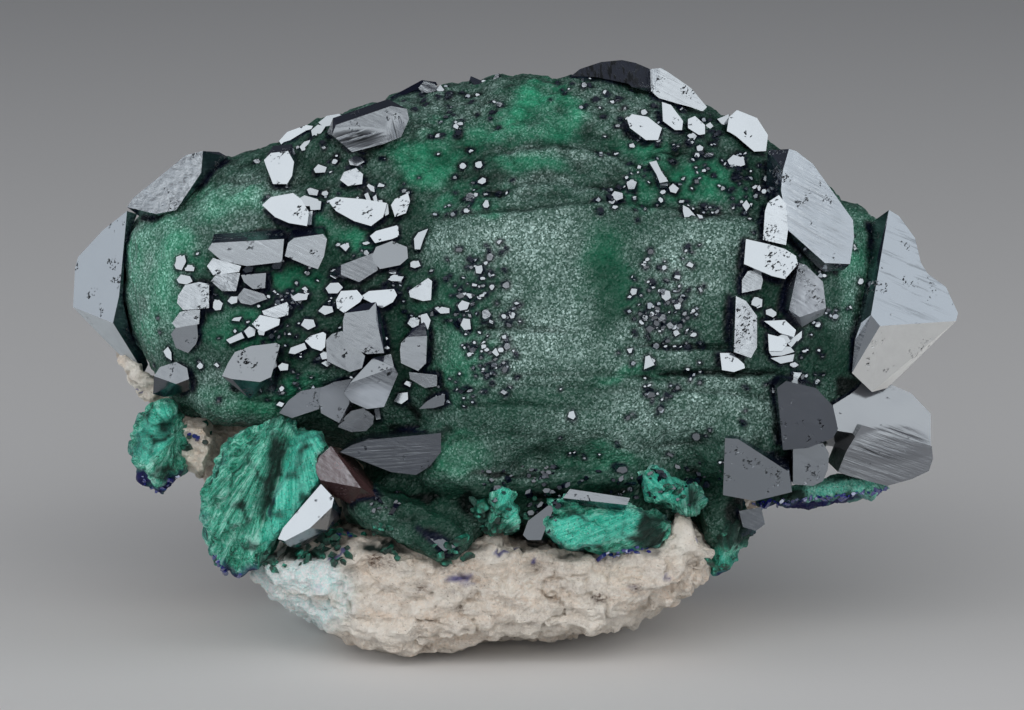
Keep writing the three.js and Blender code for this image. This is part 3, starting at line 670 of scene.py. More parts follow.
# Painted black shadow in the gaps between the dome and what stands under it
GAP_SHADOWS = [
    ((472, 508), (24, 30), 1.0), ((345, 492), (16, 24), 1.0), ((330, 500), (14, 30), 0.9),
    ((420, 498), (40, 7), 0.8), ((545, 498), (30, 16), 0.95), ((620, 494), (40, 10), 0.9),
    ((736, 512), (12, 26), 0.9), ((700, 470), (22, 10), 0.7), ((500, 470), (60, 6), 0.6),
    ((440, 430), (24, 10), 0.8), ((455, 440), (20, 8), 0.7), ((405, 410), (14, 26), 0.7),
    ((845, 385), (14, 12), 0.9),
]


def blend_patches(right, down, patches):
    """The strongest of several patches at each place."""
    total = np.zeros(len(right))
    for at, radii, amount in patches:
        total = np.maximum(total, amount * patch(right, down, at, radii))
    return total


# Blades of druse under the dome: outline in the picture, then the depths of front and back in mm
DOME_BLOCKS = [
    ([(338, 488), (372, 484), (420, 502), (470, 532), (482, 546), (462, 558), (425, 558), (380, 538),
      (346, 514)], -23, -10),
    ([(440, 486), (560, 472), (640, 470), (640, 482), (560, 492), (470, 500)], -22, -10),
    ([(700, 500), (728, 492), (742, 510), (738, 540), (716, 552), (702, 530)], -16, -6),
]


def make_dome(large):
    """The dome with its ledges, lumps and druse. large is the tree of the large crystals. Also gives where
    its grooves get painted shade, where crests get a painted highlight, and how deep the hollows between
    lumps are."""
    obj = remeshed("malachite_dome", "dome", DOME_VOXEL, 10, DOME_BLOCKS)
    facing = face_normals(obj.data) @ TO_VIEWER > 0.3
    refined(obj, facing)
    co, normals = mesh_arrays(obj.data)
    right, down, _ = to_picture(co)
    front = smoothstep(normals @ TO_VIEWER, 0.0, 0.5)
    wander = bumps(co, 9 * MM, 3)
    ragged = bumps(co, 1.4 * MM, 4)
    lumpy, _ = cells(co, 4.5 * MM, 11)
    small_lumps, _ = cells(co, 1.9 * MM, 17)
    rough_top = 1 - smoothstep(down, 185, 225)
    rough_low = smoothstep(down, 385, 440)
    rough = 0.2 + 0.8 * np.maximum(np.maximum(rough_top, rough_low * 0.7), 1 - front)
    out = 0.35 * bumps(co, 7 * MM, 5) + 1.3 * (0.4 - lumpy) * rough
    out += 0.6 * (0.4 - small_lumps) * rough + 0.1 * bumps(co, 1.1 * MM, 29)
    out += 0.7 * near_crystals(co, SWELL_REACH, large) * (1 - front)
    relief, dark, crest_highlight = ledge_relief(right, down, wander, ragged)
    co += normals * (out * MM)[:, None] + TO_VIEWER * (relief * front * MM)[:, None]
    rng = np.random.default_rng(7)
    co += normals * (rng.normal(0, 0.07 * MM, len(co)))[:, None]
    set_points(obj.data, co)
    return obj, dark * front, crest_highlight * front, small_lumps * rough


def near_crystals(points, reach, tree):
    """1 at the crystals' surfaces, 0 from reach outwards."""
    near = np.zeros(len(points))
    for i, p in enumerate(points):
        hit = tree.find_nearest(Vector(p), reach)
        if hit[3] is not None:
            near[i] = 1 - hit[3] / reach
    return near


def colour_dome(obj, dark, crest_highlight, hollows, large, small):
    co, normals = mesh_arrays(obj.data)
    right, down, _ = to_picture(co)
    front = smoothstep(normals @ TO_VIEWER, 0.0, 0.5)
    right = right + 16 * bumps(co, 5 * MM, 103) + 8 * bumps(co, 2 * MM, 107)
    down = down + 12 * bumps(co, 5 * MM, 109) + 7 * bumps(co, 2 * MM, 113)
    mottled = 0.6 + 0.5 * bumps(co, 3 * MM, 31)
    bright = blend_patches(right, down, BRIGHT_PATCHES) * mottled * 1.3 * front + 0.1
    bright = np.where(front > 0.05, bright, 0.15 + 0.3 * mottled)
    # pale also carries a painted highlight along the ledges' lips
    pale = 0.3 + 0.7 * blend_patches(right, down, PALE_PATCHES) + 0.5 * crest_highlight
    pale *= 0.8 + 0.35 * bumps(co, 2.2 * MM, 37) + 0.2 * bumps(co, 8 * MM, 39)
    darker = blend_patches(right, down, DARK_PATCHES)
    pale *= 1 - 0.75 * darker
    uneven = 0.3 * bumps(co, 1.6 * MM, 33)
    close = near_crystals(co, LARGE_SHADE_REACH, large)
    near = near_crystals(co, SMALL_SHADE_REACH, small)
    # Painted shade: in the ledges' grooves, the dark patches, deep hollows, next to small crystals, in the
    # gaps and round large crystals
    shadow = 0.95 * dark + 0.4 * darker + 1.1 * np.clip(hollows - 0.42, 0, 1) + 0.8 * near
    gaps = blend_patches(right, down, GAP_SHADOWS) * (0.8 + 0.6 * bumps(co, 1.5 * MM, 35))
    shadow = np.maximum(shadow, 1.4 * gaps)
    shadow = np.maximum(shadow, 1.25 * smoothstep(close, 0.35 + uneven, 0.95 + 0.5 * uneven) * front)
    # Painted dark blue shade right round large and small crystals
    navy = 0.5 * smoothstep(np.maximum(near, close), 0.55, 1.0)
    add_masks(obj.data, bright=bright, pale=pale, shadow=np.minimum(shadow, 0.95), navy=navy)
    dress(obj, "malachite_dome", LOOK["malachite"])


# Crystals too small for solids: outlines in the picture, then (right, down, width, height), in pixels
OUTLINED = [
    [(243, 331), (249, 325), (256, 329), (255, 336), (248, 338)],
    [(226, 340), (242, 332), (246, 338), (230, 344)],
    [(291, 297), (298, 292), (309, 294), (308, 300), (295, 301)],
    [(300, 325), (304, 318), (314, 319), (316, 326), (308, 330)],
    [(318, 311), (323, 305), (333, 306), (334, 312), (325, 315)],
    [(325, 288), (330, 282), (340, 281), (344, 287), (338, 293), (329, 293)],
    [(277, 366), (282, 362), (289, 364), (288, 370), (280, 371)],
    [(288, 354), (291, 348), (305, 343), (308, 349), (295, 355)],
    [(406, 324), (410, 318), (421, 315), (419, 327), (412, 328)],
    [(393, 402), (398, 393), (408, 392), (409, 400), (401, 405)],
    [(308, 198), (322, 201), (321, 210), (310, 211)],
    [(312, 169), (318, 164), (327, 167), (326, 173), (315, 173)],
    [(717, 119), (730, 113), (729, 127), (722, 125)],
    [(727, 160), (733, 154), (745, 157), (746, 165), (738, 168), (729, 166)],
    [(649, 161), (656, 158), (662, 170), (670, 182), (660, 183), (656, 174)],
    [(683, 205), (689, 207), (697, 217), (695, 220), (685, 219), (682, 211)],
    [(610, 196), (614, 191), (623, 193), (624, 199), (616, 201)],
    [(770, 358), (794, 354), (793, 361), (780, 364)], [(770, 340), (786, 333), (792, 341), (780, 349)],
    [(645, 356), (650, 354), (656, 366), (644, 370)],
    [(174, 265), (177, 258), (185, 254), (187, 261), (182, 270), (176, 269)],
    [(184, 268), (189, 265), (195, 267), (194, 271), (185, 271)],
    [(175, 279), (181, 274), (191, 275), (194, 281), (187, 285), (178, 283)],
    [(242, 270), (247, 266), (254, 267), (253, 272), (246, 273)],
    [(271, 266), (276, 261), (283, 263), (280, 269), (273, 269)],
    [(305, 213), (313, 211), (312, 226), (306, 226)],
    [(296, 200), (304, 195), (318, 199), (322, 206), (305, 207)],
    [(306, 189), (310, 187), (320, 190), (318, 196), (309, 195)],
    [(364, 194), (368, 192), (372, 203), (369, 207)], [(372, 196), (376, 194), (379, 207), (376, 210)],
    [(378, 200), (382, 199), (385, 210), (381, 213)], [(384, 205), (388, 203), (389, 214), (385, 217)],
    [(329, 276), (332, 269), (340, 267), (341, 276), (335, 279)],
    [(414, 250), (413, 238), (418, 231), (428, 228), (423, 240), (420, 250)],
    [(410, 267), (411, 262), (419, 260), (421, 266), (415, 269)],
    [(388, 279), (392, 275), (404, 276), (402, 281), (391, 281)],
    [(388, 272), (391, 269), (397, 270), (396, 273)],
    [(212, 308), (213, 301), (219, 299), (223, 303), (221, 310), (215, 311)],
    [(227, 301), (230, 296), (238, 296), (238, 303), (231, 305)],
    [(231, 321), (234, 318), (242, 317), (240, 322)],
    [(257, 331), (260, 327), (266, 329), (264, 336), (259, 335)],
    [(319, 354), (324, 351), (331, 354), (330, 359), (322, 360)],
    [(320, 363), (326, 360), (331, 364), (327, 367)], [(276, 405), (279, 401), (285, 403), (282, 407)],
    [(163, 351), (168, 346), (172, 352), (172, 361), (166, 357)],
    [(197, 366), (200, 362), (204, 365), (202, 369)],
    [(420, 314), (427, 312), (431, 320), (428, 331), (421, 326)],
    [(403, 384), (406, 380), (412, 382), (410, 387)], [(374, 409), (379, 407), (381, 419), (376, 420)],
    [(339, 246), (345, 243), (350, 247), (346, 252)],
    [(436, 310), (441, 306), (450, 308), (449, 313), (440, 314)],
    [(457, 306), (462, 300), (470, 303), (468, 310), (460, 311)],
    [(460, 326), (463, 318), (470, 320), (471, 330), (464, 332)],
    [(316, 123), (326, 115), (340, 113), (346, 118), (334, 125), (322, 128)],
    [(311, 130), (318, 124), (326, 126), (320, 136), (312, 137)],
    [(299, 147), (304, 141), (310, 140), (309, 150), (301, 152)],
    [(349, 160), (355, 155), (363, 157), (366, 162), (358, 166), (350, 165)],
    [(395, 96), (402, 87), (414, 82), (420, 86), (412, 93), (402, 97)],
    [(418, 88), (424, 81), (434, 83), (440, 90), (430, 94), (421, 93)],
    [(436, 90), (440, 84), (444, 90), (441, 94)],
    [(668, 187), (673, 183), (679, 188), (676, 193), (670, 192)],
    [(655, 178), (661, 172), (667, 178), (668, 186), (660, 187)],
    [(626, 183), (631, 178), (637, 182), (635, 190), (628, 190)],
    [(689, 136), (693, 132), (697, 136), (694, 141)], [(741, 205), (746, 200), (750, 206), (746, 212)],
    [(768, 352), (775, 346), (792, 346), (795, 352), (782, 356), (770, 357)],
    [(786, 331), (793, 333), (799, 341), (792, 348), (785, 341)],
    [(754, 305), (757, 297), (763, 299), (762, 307), (757, 309)],
    [(902, 378), (904, 362), (916, 358), (920, 372), (912, 379)],
]
CENTRED = [
    (366, 243, 10, 4), (418, 240, 8, 14), (414, 264, 10, 7), (392, 272, 9, 4), (394, 277, 12, 6),
    (233, 300, 10, 8), (180, 262, 12, 15), (190, 267, 8, 6), (185, 280, 15, 9), (217, 302, 8, 6),
    (257, 161, 8, 5), (358, 161, 12, 8), (313, 192, 13, 7), (325, 193, 8, 6), (371, 188, 12, 6),
    (381, 185, 9, 6), (454, 82, 12, 5), (476, 81, 16, 9), (496, 78, 12, 6), (463, 166, 8, 7),
    (479, 165, 9, 8), (482, 181, 10, 7), (470, 197, 11, 9), (486, 204, 7, 10), (467, 211, 8, 4),
    (584, 85, 6, 6), (589, 85, 7, 6), (605, 92, 5, 5), (612, 102, 5, 5), (617, 101, 6, 5),
    (644, 112, 8, 6), (709, 126, 9, 8), (692, 136, 9, 6), (700, 148, 8, 8), (709, 155, 12, 5),
    (697, 155, 6, 6), (674, 189, 9, 5), (663, 192, 7, 5), (661, 200, 5, 7), (631, 183, 10, 10),
    (612, 202, 8, 5), (615, 207, 7, 4), (700, 216, 8, 5), (756, 302, 11, 11), (771, 313, 13, 9),
    (798, 335, 15, 9), (794, 365, 10, 6), (797, 375, 14, 10), (777, 390, 12, 9), (767, 179, 7, 8),
    (855, 247, 6, 7), (860, 281, 7, 7), (820, 275, 7, 6), (387, 347, 6, 6), (200, 366, 8, 6),
    (217, 365, 6, 5), (622, 470, 12, 8), (696, 437, 9, 9), (670, 455, 7, 6), (913, 372, 14, 12),
    (459, 250, 8, 6), (470, 259, 9, 7), (490, 257, 8, 8), (479, 269, 9, 12), (492, 287, 6, 6),
    (506, 285, 8, 8), (460, 295, 10, 7), (464, 306, 12, 9), (439, 310, 10, 6), (486, 315, 10, 11),
    (512, 315, 7, 9), (491, 322, 5, 6), (465, 327, 11, 10), (506, 339, 6, 6), (507, 346, 8, 7),
    (496, 352, 9, 9), (505, 370, 6, 7), (504, 392, 8, 6), (572, 415, 10, 9), (690, 265, 8, 7),
    (634, 291, 8, 10), (677, 274, 7, 7), (666, 296, 12, 11), (677, 306, 9, 8), (661, 317, 9, 8),
    (670, 325, 9, 8), (677, 334, 8, 7), (650, 329, 10, 8), (651, 395, 9, 8), (656, 346, 7, 7),
    (630, 350, 7, 7), (652, 281, 7, 6), (700, 290, 6, 6), (660, 268, 6, 6),
]
# Scatters of tiny ones: (left, top, right, bottom), how many, smallest and largest width
SCATTERS = [
    ((150, 245, 430, 400), 150, 3, 7), ((255, 130, 430, 215), 50, 3, 7),
    ((600, 85, 770, 220), 200, 3, 7.5), ((430, 78, 505, 215), 60, 3, 7),
    ((440, 245, 512, 400), 130, 3, 7.5), ((632, 255, 700, 400), 130, 3, 8),
    ((745, 235, 835, 400), 70, 3, 7), ((560, 370, 760, 470), 24, 2.5, 6),
    ((845, 215, 885, 380), 16, 2.5, 5), ((560, 78, 600, 100), 12, 2.5, 5),
    ((396, 80, 446, 98), 26, 3.5, 8), ((255, 225, 350, 400), 60, 3, 7),
]
# Lines of vivid blue crystals along broken edges
VIOLET_LINES = [
    [(758, 503), (800, 500), (840, 496), (872, 492), (890, 488)],
    [(142, 476), (150, 488), (160, 492), (172, 482), (180, 474)],
    [(214, 556), (220, 566), (230, 580), (244, 572)], [(190, 434), (202, 440)],
    [(604, 555), (630, 552), (652, 548)], [(336, 536), (352, 534)],
]
# Broken green and dark pieces in the crevice under the dome
SHARDS = [
    ((335, 516, 352, 548), 14, 5, 13), ((264, 552, 316, 564), 14, 5, 12),
    ((312, 536, 345, 560), 24, 6, 14), ((350, 530, 392, 552), 12, 5, 13),
    ((410, 548, 468, 558), 12, 5, 12), ((474, 496, 530, 528), 22, 6, 15),
    ((648, 476, 700, 502), 9, 5, 12), ((706, 540, 724, 572), 12, 5, 10), ((194, 430, 232, 450), 8, 5, 9),
]
# Dark crystals in the same gap
CREVICE = [
    ((335, 490, 400, 520), 16, 3, 8), ((480, 470, 720, 500), 90, 3, 9), ((525, 485, 552, 540), 30, 3, 9),
]


def tree_of(objects):
    """The surfaces of several objects, for finding places on them."""
    points, polygons = [], []
    for obj in objects:
        first = len(points)
        points += [v.co.copy() for v in obj.data.vertices]
        polygons += [tuple(first + i for i in p.vertices) for p in obj.data.polygons]
    return BVHTree.FromPolygons(points, polygons)


def hit_through(tree, right, down):
    """Where the line of sight through a place in the picture meets the surface, and the normal."""
    aim = to_world(right, down, 0.0) - EYE
    place, normal, _, _ = tree.ray_cast(Vector(EYE), Vector(aim / np.linalg.norm(aim)))
    return place, normal


def soft_normal(tree, right, down, reach):
    """The ground's direction near a place in the picture, as a mean over reach pixels round it."""
    total = Vector((0, 0, 0))
    for i in range(7):
        a = i * math.tau / 7
        radius = reach if i else 0
        place, normal = hit_through(tree, right + radius * math.cos(a), down + radius * math.sin(a))
        if place is not None:
            total += normal
    return total.normalized() if total.length > 0 else None


def on_plane(right, down, plane, way):
    """Where the line of sight through a place in the picture meets a plane that faces along way."""
    eye = Vector(EYE)
    aim = Vector(to_world(right, down, 0.0)) - eye
    return eye + aim * ((plane - eye).dot(way) / aim.dot(way))


class Crystals:
    """Collects small crystals as one mesh. Their roots go ROOT widths and ROOT_LEAST into the ground, and
    LOOK_UP turns them all up a little."""

    ROOT = 1.3
    ROOT_LEAST = 0.4 * MM
    LOOK_UP = Vector((0, 0, 0.2))

    def __init__(self, tree, seed):
        self.tree = tree
        self.rng = np.random.default_rng(seed)
        self.points = []
        self.faces = []

    def outline(self, at, size):
        """A rough polygon of a size in pixels, turned by a little."""
        turn = self.rng.normal(-0.15, 0.45)
        corners = []
        count = int(self.rng.integers(4, 8))
        for k in range(count):
            a = (k + self.rng.uniform(-0.33, 0.33)) * math.tau / count
            x, y = size[0] / 2 * math.cos(a), size[1] / 2 * math.sin(a)
            right = at[0] + x * math.cos(turn) - y * math.sin(turn)
            down = at[1] + x * math.sin(turn) + y * math.cos(turn)
            corners.append((right, down))
        return corners

    def add(self, corners, wild=0.07, stand=0.4, lean=0.2):
        """A crystal whose front face has these corners in the picture, rooted in the ground. It faces the
        viewer, but for wild at random and lean along the ground's own direction."""
        middle = np.mean(corners, axis=0)
        place, _ = hit_through(self.tree, *middle)
        if place is None:
            return
        spread = max(np.ptp([c[0] for c in corners]), np.ptp([c[1] for c in corners]))
        normal = soft_normal(self.tree, *middle, spread)
        stray = Vector(self.rng.uniform(-1.7, 1.7, 3)) * wild
        way = Vector(TO_VIEWER) + self.LOOK_UP + normal * lean + stray
        way.normalize()
        width = spread * PIXEL
        front = place + way * width * stand
        top, rim, foot = [], [], []
        heart = on_plane(*middle, front, way)
        shift = Vector(self.rng.normal(0, 0.06, 3)) * width
        for c in corners:
            edge = on_plane(*c, front, way)
            top.append(heart + (edge - heart) * self.rng.uniform(0.8, 1.0) + shift * 0.3)
            rim.append(edge - way * width * self.rng.uniform(0.15, 0.4))
            foot.append(edge - way * (width * self.ROOT + self.ROOT_LEAST))
        first = len(self.points)
        n = len(corners)
        self.points += top + rim + foot
        self.faces.append(tuple(first + i for i in range(n)))
        for ring in (0, 1):
            for i in range(n):
                j = (i + 1) % n
                a, b = first + ring * n, first + (ring + 1) * n
                self.faces.append((a + j, a + i, b + i, b + j))
        self.faces.append(tuple(first + 2 * n + i for i in reversed(range(n))))

    def scatter(self, box, count, low, high, **more):
        """Clusters in a box of the picture, of crystals from low to high pixels wide."""
        heart = (self.rng.uniform(box[0], box[2]), self.rng.uniform(box[1], box[3]))
        for _ in range(count):
            if self.rng.random() < 0.35:
                heart = (self.rng.uniform(box[0], box[2]), self.rng.uniform(box[1], box[3]))
            at = (heart[0] + self.rng.normal(0, 7), heart[1] + self.rng.normal(0, 6))
            width = low + (high - low) * self.rng.random() ** 2
            shape = self.outline(at, (width, width * self.rng.uniform(0.4, 0.95)))
            self.add(shape, wild=0.4, lean=0.5, **more)

    def along(self, line, spacing, low, high):
        """Crystals every spacing pixels along a line of the picture."""
        for (x1, y1), (x2, y2) in zip(line, line[1:]):
            steps = max(1, round(math.hypot(x2 - x1, y2 - y1) / spacing))
            for k in range(steps):
                at = (x1 + (x2 - x1) * k / steps, y1 + (y2 - y1) * k / steps)
                width = self.rng.uniform(low, high)
                at = (at[0] + self.rng.normal(0, 1.2), at[1] + self.rng.normal(0, 1.2))
                self.add(self.outline(at, (width, width * self.rng.uniform(0.4, 0.8))), wild=0.5, lean=0.5)

    def mesh(self, name):
        mesh = bpy.data.meshes.new(name)
        mesh.from_pydata(self.points, [], self.faces)
        bm = bmesh.new()
        bm.from_mesh(mesh)
        bmesh.ops.recalc_face_normals(bm, faces=bm.faces)
        bm.to_mesh(mesh)
        bm.free()
        return link(name, mesh)


# The matrix rock

# Rust-brown stains: place and radii in the picture
STAINS = [
    ((335, 541), (16, 12)), ((378, 562), (26, 12)), ((410, 588), (24, 9)), ((448, 610), (26, 7)),
    ((500, 622), (26, 6)), ((635, 588), (22, 6)), ((600, 598), (12, 8)), ((196, 446), (12, 8)),
]
# Whiter places on the rock: partly its own chalk white, partly painted highlight towards the lower right
WHITE_AREAS = [
    ((140, 378), (26, 34), 1.0), ((182, 446), (18, 22), 0.8), ((490, 552), (24, 20), 0.7),
    ((676, 540), (30, 30), 0.6), ((420, 605), (60, 14), 0.5), ((520, 590), (30, 12), 0.4),
    ((380, 630), (60, 16), 0.4), ((600, 620), (60, 16), 0.4),
]
# Where the rock's top edge lies under broken green: partly its dark green, partly painted shade
GREEN_SHADE = [
    ((300, 552), (42, 10), 1.0), ((340, 530), (20, 26), 1.0), ((385, 548), (40, 9), 0.9),
    ((470, 546), (26, 9), 0.8), ((532, 540), (22, 16), 0.9), ((575, 556), (40, 6), 0.7),
    ((650, 552), (16, 10), 0.7),
]
MINT_AREA = ((290, 594), (80, 62))
BLUE_SEAM = [(444, 579), (452, 576), (472, 575), (470, 579), (455, 582)]
# Horns, slabs and fragments on the rock: outline in the picture, then near and far depths in mm
ROCK_BLOCKS = [
    ([(120, 352), (132, 358), (146, 374), (160, 384), (162, 398), (152, 404), (142, 392),
      (128, 374)], 1, 14),
    ([(166, 436), (182, 424), (206, 424), (214, 440), (206, 462), (200, 476), (184, 466),
      (172, 448)], -10, 8),
    ([(462, 560), (474, 543), (486, 537), (497, 531), (507, 534), (516, 546), (524, 562),
      (500, 580)], -17, 2),
    ([(658, 556), (668, 534), (674, 516), (679, 506), (684, 515), (694, 529), (704, 543), (713, 556),
      (708, 574), (680, 582)], -19, 2),
    ([(258, 568), (300, 552), (330, 536), (372, 540), (400, 556), (380, 580), (320, 600),
      (272, 588)], -19, 2),
    ([(560, 620), (640, 596), (690, 572), (708, 574), (688, 584), (680, 592), (664, 598), (655, 612),
      (600, 634)], -15, 2),
    ([(640, 566), (704, 566), (710, 578), (692, 584), (690, 594), (676, 594), (674, 604),
      (650, 606)], -18, 2),
    ([(330, 610), (420, 600), (520, 610), (560, 628), (500, 640), (470, 643), (430, 651), (392, 655),
      (345, 638)], -15, 2),
]


def make_rock():
    obj = remeshed("matrix_rock", "rock", ROCK_VOXEL, 2, ROCK_BLOCKS)
    co, normals = mesh_arrays(obj.data)
    right, down, _ = to_picture(co)
    front = smoothstep(normals @ TO_VIEWER, -0.2, 0.2)
    chips, own = cells(co, 5 * MM, 41)
    small, small_own = cells(co * np.array([0.7, 1, 1.2]), 1.7 * MM, 43)
    layers = bumps(co * np.array([0.35, 0.35, 1.6]), 2.2 * MM, 47)
    out = 1.1 * (own - 0.5) * (1 - chips) + 0.6 * bumps(co, 2.5 * MM, 53)
    out += 0.8 * (small_own - 0.5) * (1 - small) + 0.45 * layers + 0.4 * bumps(co, 0.9 * MM, 59)
    pits, pit_own = cells(co, 3.4 * MM, 61)
    pit = (pit_own > 0.8) * np.clip(0.42 - pits, 0, 1)
    out -= 3.0 * pit
    for size, depth, seed in ((2.6, 0.8, 163), (1.2, 0.5, 167)):
        crease = 1 - smoothstep(np.abs(bumps(co, size * MM, seed)), 0.0, 0.16)
        out -= depth * crease * (0.5 + bumps(co, 5 * MM, seed + 1))
    level = smoothstep(co[:, 2], 0.2 * MM, 1.5 * MM)
    co += normals * (out * level * MM)[:, None]
    co[:, 2] = np.maximum(co[:, 2], 0)
    set_points(obj.data, co)
    stain = 1.6 * pit + 0.15 * (bumps(co, 6 * MM, 67) > 0.35)
    for at, radii in STAINS:
        stain = np.maximum(stain, 0.9 * patch(right, down, at, radii) * (0.5 + bumps(co, 1.5 * MM, 71)))
    flecks, fleck_own = cells(co * np.array([0.5, 1, 1]), 1.5 * MM, 73)
    near_top = 1 - smoothstep(down, 560, 600)
    blue = (fleck_own > 0.9) * (flecks < 0.32) * near_top + within(right, down, BLUE_SEAM, 2)
    mint = 1.5 * patch(right, down, *MINT_AREA) * (0.8 + 0.7 * bumps(co, 1.8 * MM, 79))
    shade = 1.3 * blend_patches(right, down, GREEN_SHADE) * (0.8 + 0.7 * bumps(co, 1 * MM, 157))
    white = blend_patches(right, down, WHITE_AREAS) * (0.8 + 0.8 * bumps(co, 1.2 * MM, 151))
    add_masks(obj.data, stain=stain, mint=mint, blue=0.8 * blue, shade=shade * front, white=white)
    dress(obj, "matrix_rock", LOOK["matrix"])
    return obj


# The broken fans: each fibre runs from an apex, in pixels, out across the piece. bright, deep and rim
# are outlines of turquoise, shaded and blue-edged parts, and blocks are broken pieces that stand out.
FANS = {
    "left_fan": {
        "apex": (292, 405),
        "bright": [
            (296, 432), (322, 431), (324, 440), (313, 462), (321, 480), (282, 536), (264, 548),
            (258, 534), (276, 500), (285, 470), (289, 446),
        ],
        "deep": [(270, 436), (288, 442), (284, 470), (274, 498), (262, 520), (254, 512), (266, 480)],
        "rim": [(226, 574), (232, 584), (256, 568), (252, 560), (236, 572), (222, 560)],
        "blocks": [
            ([(213, 478), (226, 462), (234, 480), (226, 500), (208, 508), (203, 494)], -23, -12),
            ([(206, 512), (222, 506), (230, 526), (222, 546), (210, 540)], -22, -12),
            ([(212, 548), (226, 540), (236, 556), (226, 570), (216, 562)], -21, -12),
            ([(300, 434), (322, 430), (326, 442), (316, 462), (322, 482), (290, 526), (270, 544),
              (266, 520)], -24, -12),
        ],
    },
    "left_ball": {
        "apex": (176, 436),
        "bright": [(138, 440), (146, 414), (166, 406), (176, 420), (168, 446), (150, 462), (138, 456)],
        "deep": [(160, 420), (172, 418), (176, 430), (166, 436), (158, 430)],
        "rim": [
            (136, 470), (142, 470), (154, 488), (172, 478), (184, 470), (178, 486), (158, 497),
            (142, 484),
        ],
        "blocks": [([(142, 414), (160, 403), (176, 408), (168, 424), (148, 428)], -12, -2)],
    },
    "front_chunk": {
        "apex": (745, 470),
        "bright": [
            (548, 520), (566, 514), (600, 512), (622, 506), (640, 520), (630, 540), (590, 548),
            (556, 542),
        ],
        "deep": [(640, 512), (668, 514), (664, 534), (650, 550), (634, 548)],
        "rim": [(600, 556), (650, 549), (652, 556), (602, 562)],
        "blocks": [
            ([(546, 500), (566, 494), (590, 510), (584, 520), (560, 514)], -24, -14),
            ([(546, 518), (580, 514), (612, 528), (606, 546), (566, 548), (546, 532)], -25, -14),
        ],
    },
    "right_tuft": {
        "apex": (690, 520),
        "bright": [(636, 478), (660, 470), (690, 482), (688, 500), (660, 500), (642, 494)],
        "deep": [(690, 486), (704, 500), (694, 512), (684, 502)],
        "rim": [],
        "blocks": [
            ([(640, 474), (652, 468), (668, 474), (664, 490), (646, 494)], -22, -13),
            ([(674, 484), (694, 484), (706, 506), (690, 516), (672, 502)], -21, -12),
        ],
    },
    "centre_tuft": {
        "apex": (486, 540),
        "bright": [(494, 488), (512, 492), (520, 508), (512, 522), (500, 510)],
        "deep": [(462, 494), (484, 490), (492, 512), (484, 526), (470, 516)],
        "rim": [],
        "blocks": [
            ([(484, 492), (500, 486), (516, 492), (512, 506), (492, 508)], -24, -14),
            ([(500, 508), (520, 504), (520, 530), (504, 532)], -22, -13),
        ],
    },
    "lower_right_lobe": {
        "apex": (735, 480),
        "bright": [(708, 556), (718, 548), (730, 560), (724, 580), (712, 578)],
        "deep": [(698, 500), (756, 498), (758, 530), (736, 548), (706, 548)],
        "rim": [(716, 572), (728, 570), (726, 581), (714, 582)],
        "blocks": [],
    },
    "lower_right_sheet": {
        "apex": (800, 380),
        "bright": [(798, 490), (846, 476), (874, 480), (862, 494), (810, 498)],
        "deep": [(752, 500), (796, 488), (800, 500), (760, 508)],
        "rim": [(752, 504), (810, 500), (868, 496), (896, 488), (892, 496), (862, 502), (800, 508)],
        "blocks": [],
    },
}


def make_fan(short, apex, bright, deep, rim, blocks):
    """A broken piece of malachite whose fibres run out from an apex."""
    node = "malachite_" + short
    obj = remeshed(node, short, FAN_VOXEL, 5, blocks)
    co, normals = mesh_arrays(obj.data)
    right, down, depth = to_picture(co)
    wide = right + 3 * bumps(co, 1.5 * MM, 127)
    tall = down + 3 * bumps(co, 1.5 * MM, 131)
    angle = np.arctan2(down - apex[1], right - apex[0])
    away = np.hypot(right - apex[0], down - apex[1]) * PIXEL
    spread = max(float(away.mean()), 6 * MM)
    along = np.stack([angle * spread, away * 0.07, depth * 0.5], -1)
    ridges = bumps(along, 0.6 * MM, 83)
    coarse = bumps(along, 1.9 * MM, 89)
    chips, own = cells(co, 2.2 * MM, 97)
    small, small_own = cells(co, 0.9 * MM, 139)
    out = 0.25 * ridges + 0.4 * coarse + 1.3 * (own - 0.5) * (1 - chips) + 0.4 * bumps(co, 1.1 * MM, 101)
    out += 0.6 * (small_own - 0.5) * (1 - small)
    smooth_part = within(wide, tall, bright)
    co += normals * (out * (1 - 0.6 * smooth_part) * MM)[:, None]
    set_points(obj.data, co)
    edge = 1 - smoothstep(np.abs(normals @ TO_VIEWER), 0.1, 0.5)
    add_vectors(obj.data, "along", along)
    hollow = 0.4 * np.clip(-coarse, 0, 1) + 0.8 * smoothstep(chips, 0.62, 0.9)
    hollow += 0.35 * smoothstep(small, 0.65, 0.9)
    shadow = np.minimum(0.85 * within(wide, tall, deep, 5) + hollow, 0.95)
    rim_share = within(wide, tall, rim, 3) if rim else np.zeros(len(co))
    blue = rim_share + 0.3 * edge * (own > 0.8)
    add_masks(obj.data, bright=0.85 * smooth_part, shadow=shadow, rim=blue)
    look = "sheet" if short == "lower_right_sheet" else "fibrous"
    dress(obj, node, LOOK[look])
    return obj


azurite_nodes = [n for n in nodes if n.startswith("azurite_")]
large_tree = tree_of([nodes[n] for n in azurite_nodes])
dome, dome_groove_shade, dome_crest_highlight, dome_hollows = make_dome(large_tree)
rock = make_rock()
fans = [make_fan(short, **facts) for short, facts in FANS.items()]

# Azurite: the solids keep their own meshes, with their edges just taken off
for name in azurite_nodes:
    crystal = nodes[name]
    crystal.data.materials.clear()
    short = name.removeprefix("azurite_")
    kind = "grey" if short in GREY else "dull" if short in DULL else "azurite"
    crystal.data.materials.append(OWN_LOOK.get(short, LOOK[kind]))
    bevel = crystal.modifiers.new("worn_edges", "BEVEL")
    bevel.width = WORN_EDGE
    bevel.segments = 2
    bevel.limit_method = "ANGLE"
    bevel.angle_limit = math.radians(22)

